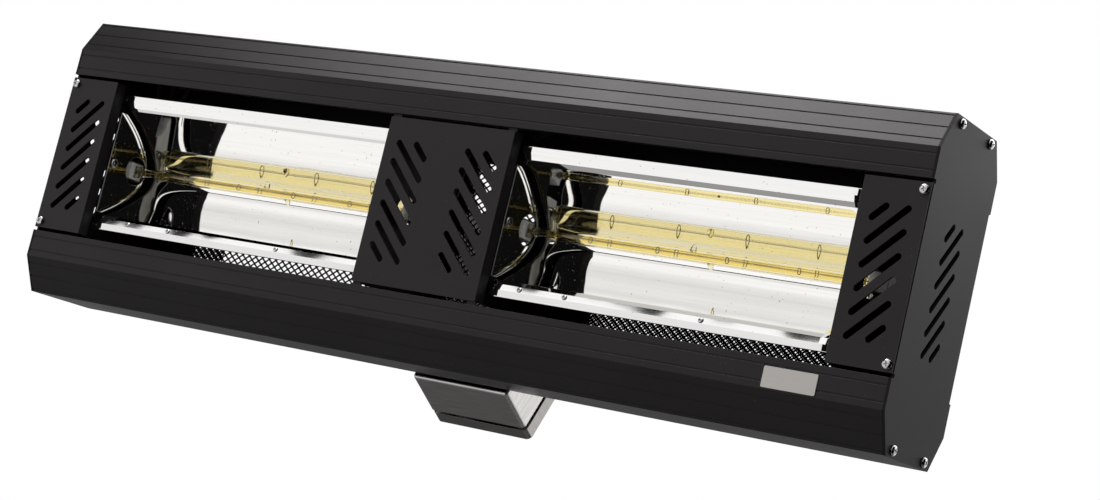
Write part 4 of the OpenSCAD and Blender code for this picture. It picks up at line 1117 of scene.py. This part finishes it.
# %% [markdown]
# A studio for a black object needs pale light all round, so that its edges draw themselves, and
# something dark to one side for the mirrors to show. Camera, glossy and transmission rays see a
# white background; the light that falls on the object is set apart from it, at a plain level.

# %% World
world = bpy.data.worlds.new("studio")
world.use_nodes = True
scene.world = world
tree = world.node_tree
tree.nodes.clear()


def background_rays(tree, with_camera=True):
    rays = add(tree, "ShaderNodeLightPath")
    seen = math_node(tree, "MAXIMUM", rays.outputs["Is Glossy Ray"], rays.outputs["Is Transmission Ray"])
    return math_node(tree, "MAXIMUM", seen, rays.outputs["Is Camera Ray"]) if with_camera else seen


fill = add(tree, "ShaderNodeBackground", {"Color": linear("f2f4f7"), "Strength": 0.5})
white = add(tree, "ShaderNodeBackground", {"Color": (1, 1, 1, 1), "Strength": 1.0})
mix = {0: background_rays(tree), 1: fill.outputs["Background"], 2: white.outputs["Background"]}
seen = add(tree, "ShaderNodeMixShader", mix)
add(tree, "ShaderNodeOutputWorld", {"Surface": seen.outputs["Shader"]})
print("world:", world.name)

# %% [markdown]
# The floor is pale paper. Mirrors see it as bright as the white behind, darker towards the wall
# where the studio light falls off. Five cloths stand where only mirrors see them. Black velvet right
# of the camera shows in the polished ends, and grey felt behind on the left shows in the undersides.
# A lit diffuser brightens the right end, and two flags grade the chamfers and the mirrors.

# %% Floor and screens


def quad(*spans):
    """Four corners, in metres: a span on two axes and one place on the third."""
    flat = [i for i, span in enumerate(spans) if not isinstance(span, tuple)][0]
    first, second = (i for i in range(3) if i != flat)
    corners = []
    for a, b in ((0, 0), (1, 0), (1, 1), (0, 1)):
        corner = [spans[flat]] * 3
        corner[first], corner[second] = spans[first][a], spans[second][b]
        corners.append(corner)
    return corners


def sheet_mesh(name, material, *quads):
    mesh = bpy.data.meshes.new(name)
    points = [p for corners in quads for p in corners]
    mesh.from_pydata(points, [], [tuple(range(4 * i, 4 * i + 4)) for i in range(len(quads))])
    mesh.materials.append(material)
    return link(name, mesh)


def graded(tree, axis, start, end, levels):
    """Greys that change along an axis between two places, in metres."""
    where = add(tree, "ShaderNodeSeparateXYZ", {"Vector": object_coordinates(tree)})
    span = {"Value": where.outputs[axis], "From Min": start, "From Max": end}
    along = add(tree, "ShaderNodeMapRange", span)
    return ramp(tree, along.outputs["Result"], [(place, (v, v, v, 1)) for place, v in levels])


def cloth(name, grey, *grades):
    """Cloth that mirrors see in one grey, or graded along X."""
    glow = {"Emission_Color": (grey, grey, grey, 1), "Emission_Strength": 1.0}
    matt = {"Base_Color": (0, 0, 0, 1), "Roughness": 1.0, "Specular_IOR_Level": 0.0}
    material, tree, shader = new_material(name, **matt, **glow)
    if grades:
        tree.links.new(graded(tree, "X", *grades), shader.inputs["Emission Color"])
    return material


pale = {"Base_Color": linear("f4f4f3"), "Roughness": 0.9, "Emission_Color": (1, 1, 1, 1)}
paper, tree, shader = new_material("studio floor, pale paper", **pale)
near = ((0.0, 1.0), (1.0, 0.12), (0.28, 0.78), (0.47, 0.92), (0.61, 0.92))
far = ((0.68, 0.56), (0.72, 0.34), (0.85, 0.28))
glow = add(tree, "ShaderNodeEmission", {"Color": graded(tree, "Y", -6.0, 2.0, near + far)})
mix = {0: background_rays(tree, False), 1: shader.outputs["BSDF"], 2: glow.outputs["Emission"]}
mixed = add(tree, "ShaderNodeMixShader", mix)
tree.links.new(mixed.outputs["Shader"], tree.nodes["Material Output"].inputs["Surface"])
from_camera = add(tree, "ShaderNodeLightPath").outputs["Is Camera Ray"]
PAPER_GLOW = 0.42
tree.links.new(math_node(tree, "MULTIPLY", from_camera, PAPER_GLOW), shader.inputs["Emission Strength"])
FLOOR_Z, RIGHT, LEFT, BACK, FAR = -1.7, 1.1, -0.1, 1.2, -4.0
SCREEN_Z = FLOOR_Z + 0.01
floor = sheet_mesh("floor", paper, quad((-12, 12), (-12, 12), FLOOR_Z))

velvet, felt, diffuser = cloth("black velvet", 0.004), cloth("grey felt", 0.1), cloth("lit diffuser", 2.9)
flag = cloth("black flag, thinning out", 0.0, -2.4, -1.9, [(0.0, 0.0), (1.0, 0.6), (0.5, 0.06)])
grey_flag = cloth("grey flag, darker to the right", 0.0, -1.8, -0.1, [(0.0, 0.5), (1.0, 0.26), (0.3, 0.24)])
beside = quad(RIGHT, (FAR, 0.45), (SCREEN_Z, 1.3))
below = quad((0.12, RIGHT), (FAR, 0.45), SCREEN_Z)
SCREENS = (
    sheet_mesh("side_screen", velvet, beside, below),
    sheet_mesh("back_screen", felt, quad((FAR, LEFT), BACK, (SCREEN_Z, 0.1))),
    sheet_mesh("bright_screen", diffuser, quad((0.2, 2.4), 1.3, (1.3, 3.0))),
    sheet_mesh("high_flag", flag, quad((-9.0, -1.9), (-6.0, 1.0), 1.6)),
    sheet_mesh("back_flag", grey_flag, quad((FAR, LEFT), BACK, (0.1, 1.15))),
)
for screen in SCREENS:
    screen.visible_camera = False
    screen.visible_diffuse = False
    screen.visible_shadow = False
print("screens:", [screen.name for screen in SCREENS])

# %% [markdown]
# Two large soft lamps do the rest: the key stands high on the left, and shows in the chamfer and the
# covers, and the top one lifts the upper faces. The Standard view keeps the chart colours as picked.

# %% Soft lamps


def soft_lamp(name, place, size, watts, target=(0, -0.15, 0)):
    data = bpy.data.lights.new(name, "AREA")
    data.shape = "RECTANGLE"
    data.size, data.size_y = size
    data.energy = watts
    lamp = link(name, data)
    lamp.location = place
    lamp.rotation_euler = (Vector(target) - Vector(place)).to_track_quat("-Z", "Y").to_euler()
    print("lamp", name, watts, "W")


soft_lamp("key", (-0.98, -1.85, 1.6), (1.25, 1.1), 29)
soft_lamp("top", (0.3, -0.4, 2.2), (2.0, 1.0), 22)
scene.view_settings.view_transform = "Standard"

# %% [markdown]
# Dressing a part must not change its size. At the end the view layer is brought up to date.

# %% Bring the scene up to date
bpy.context.view_layer.update()
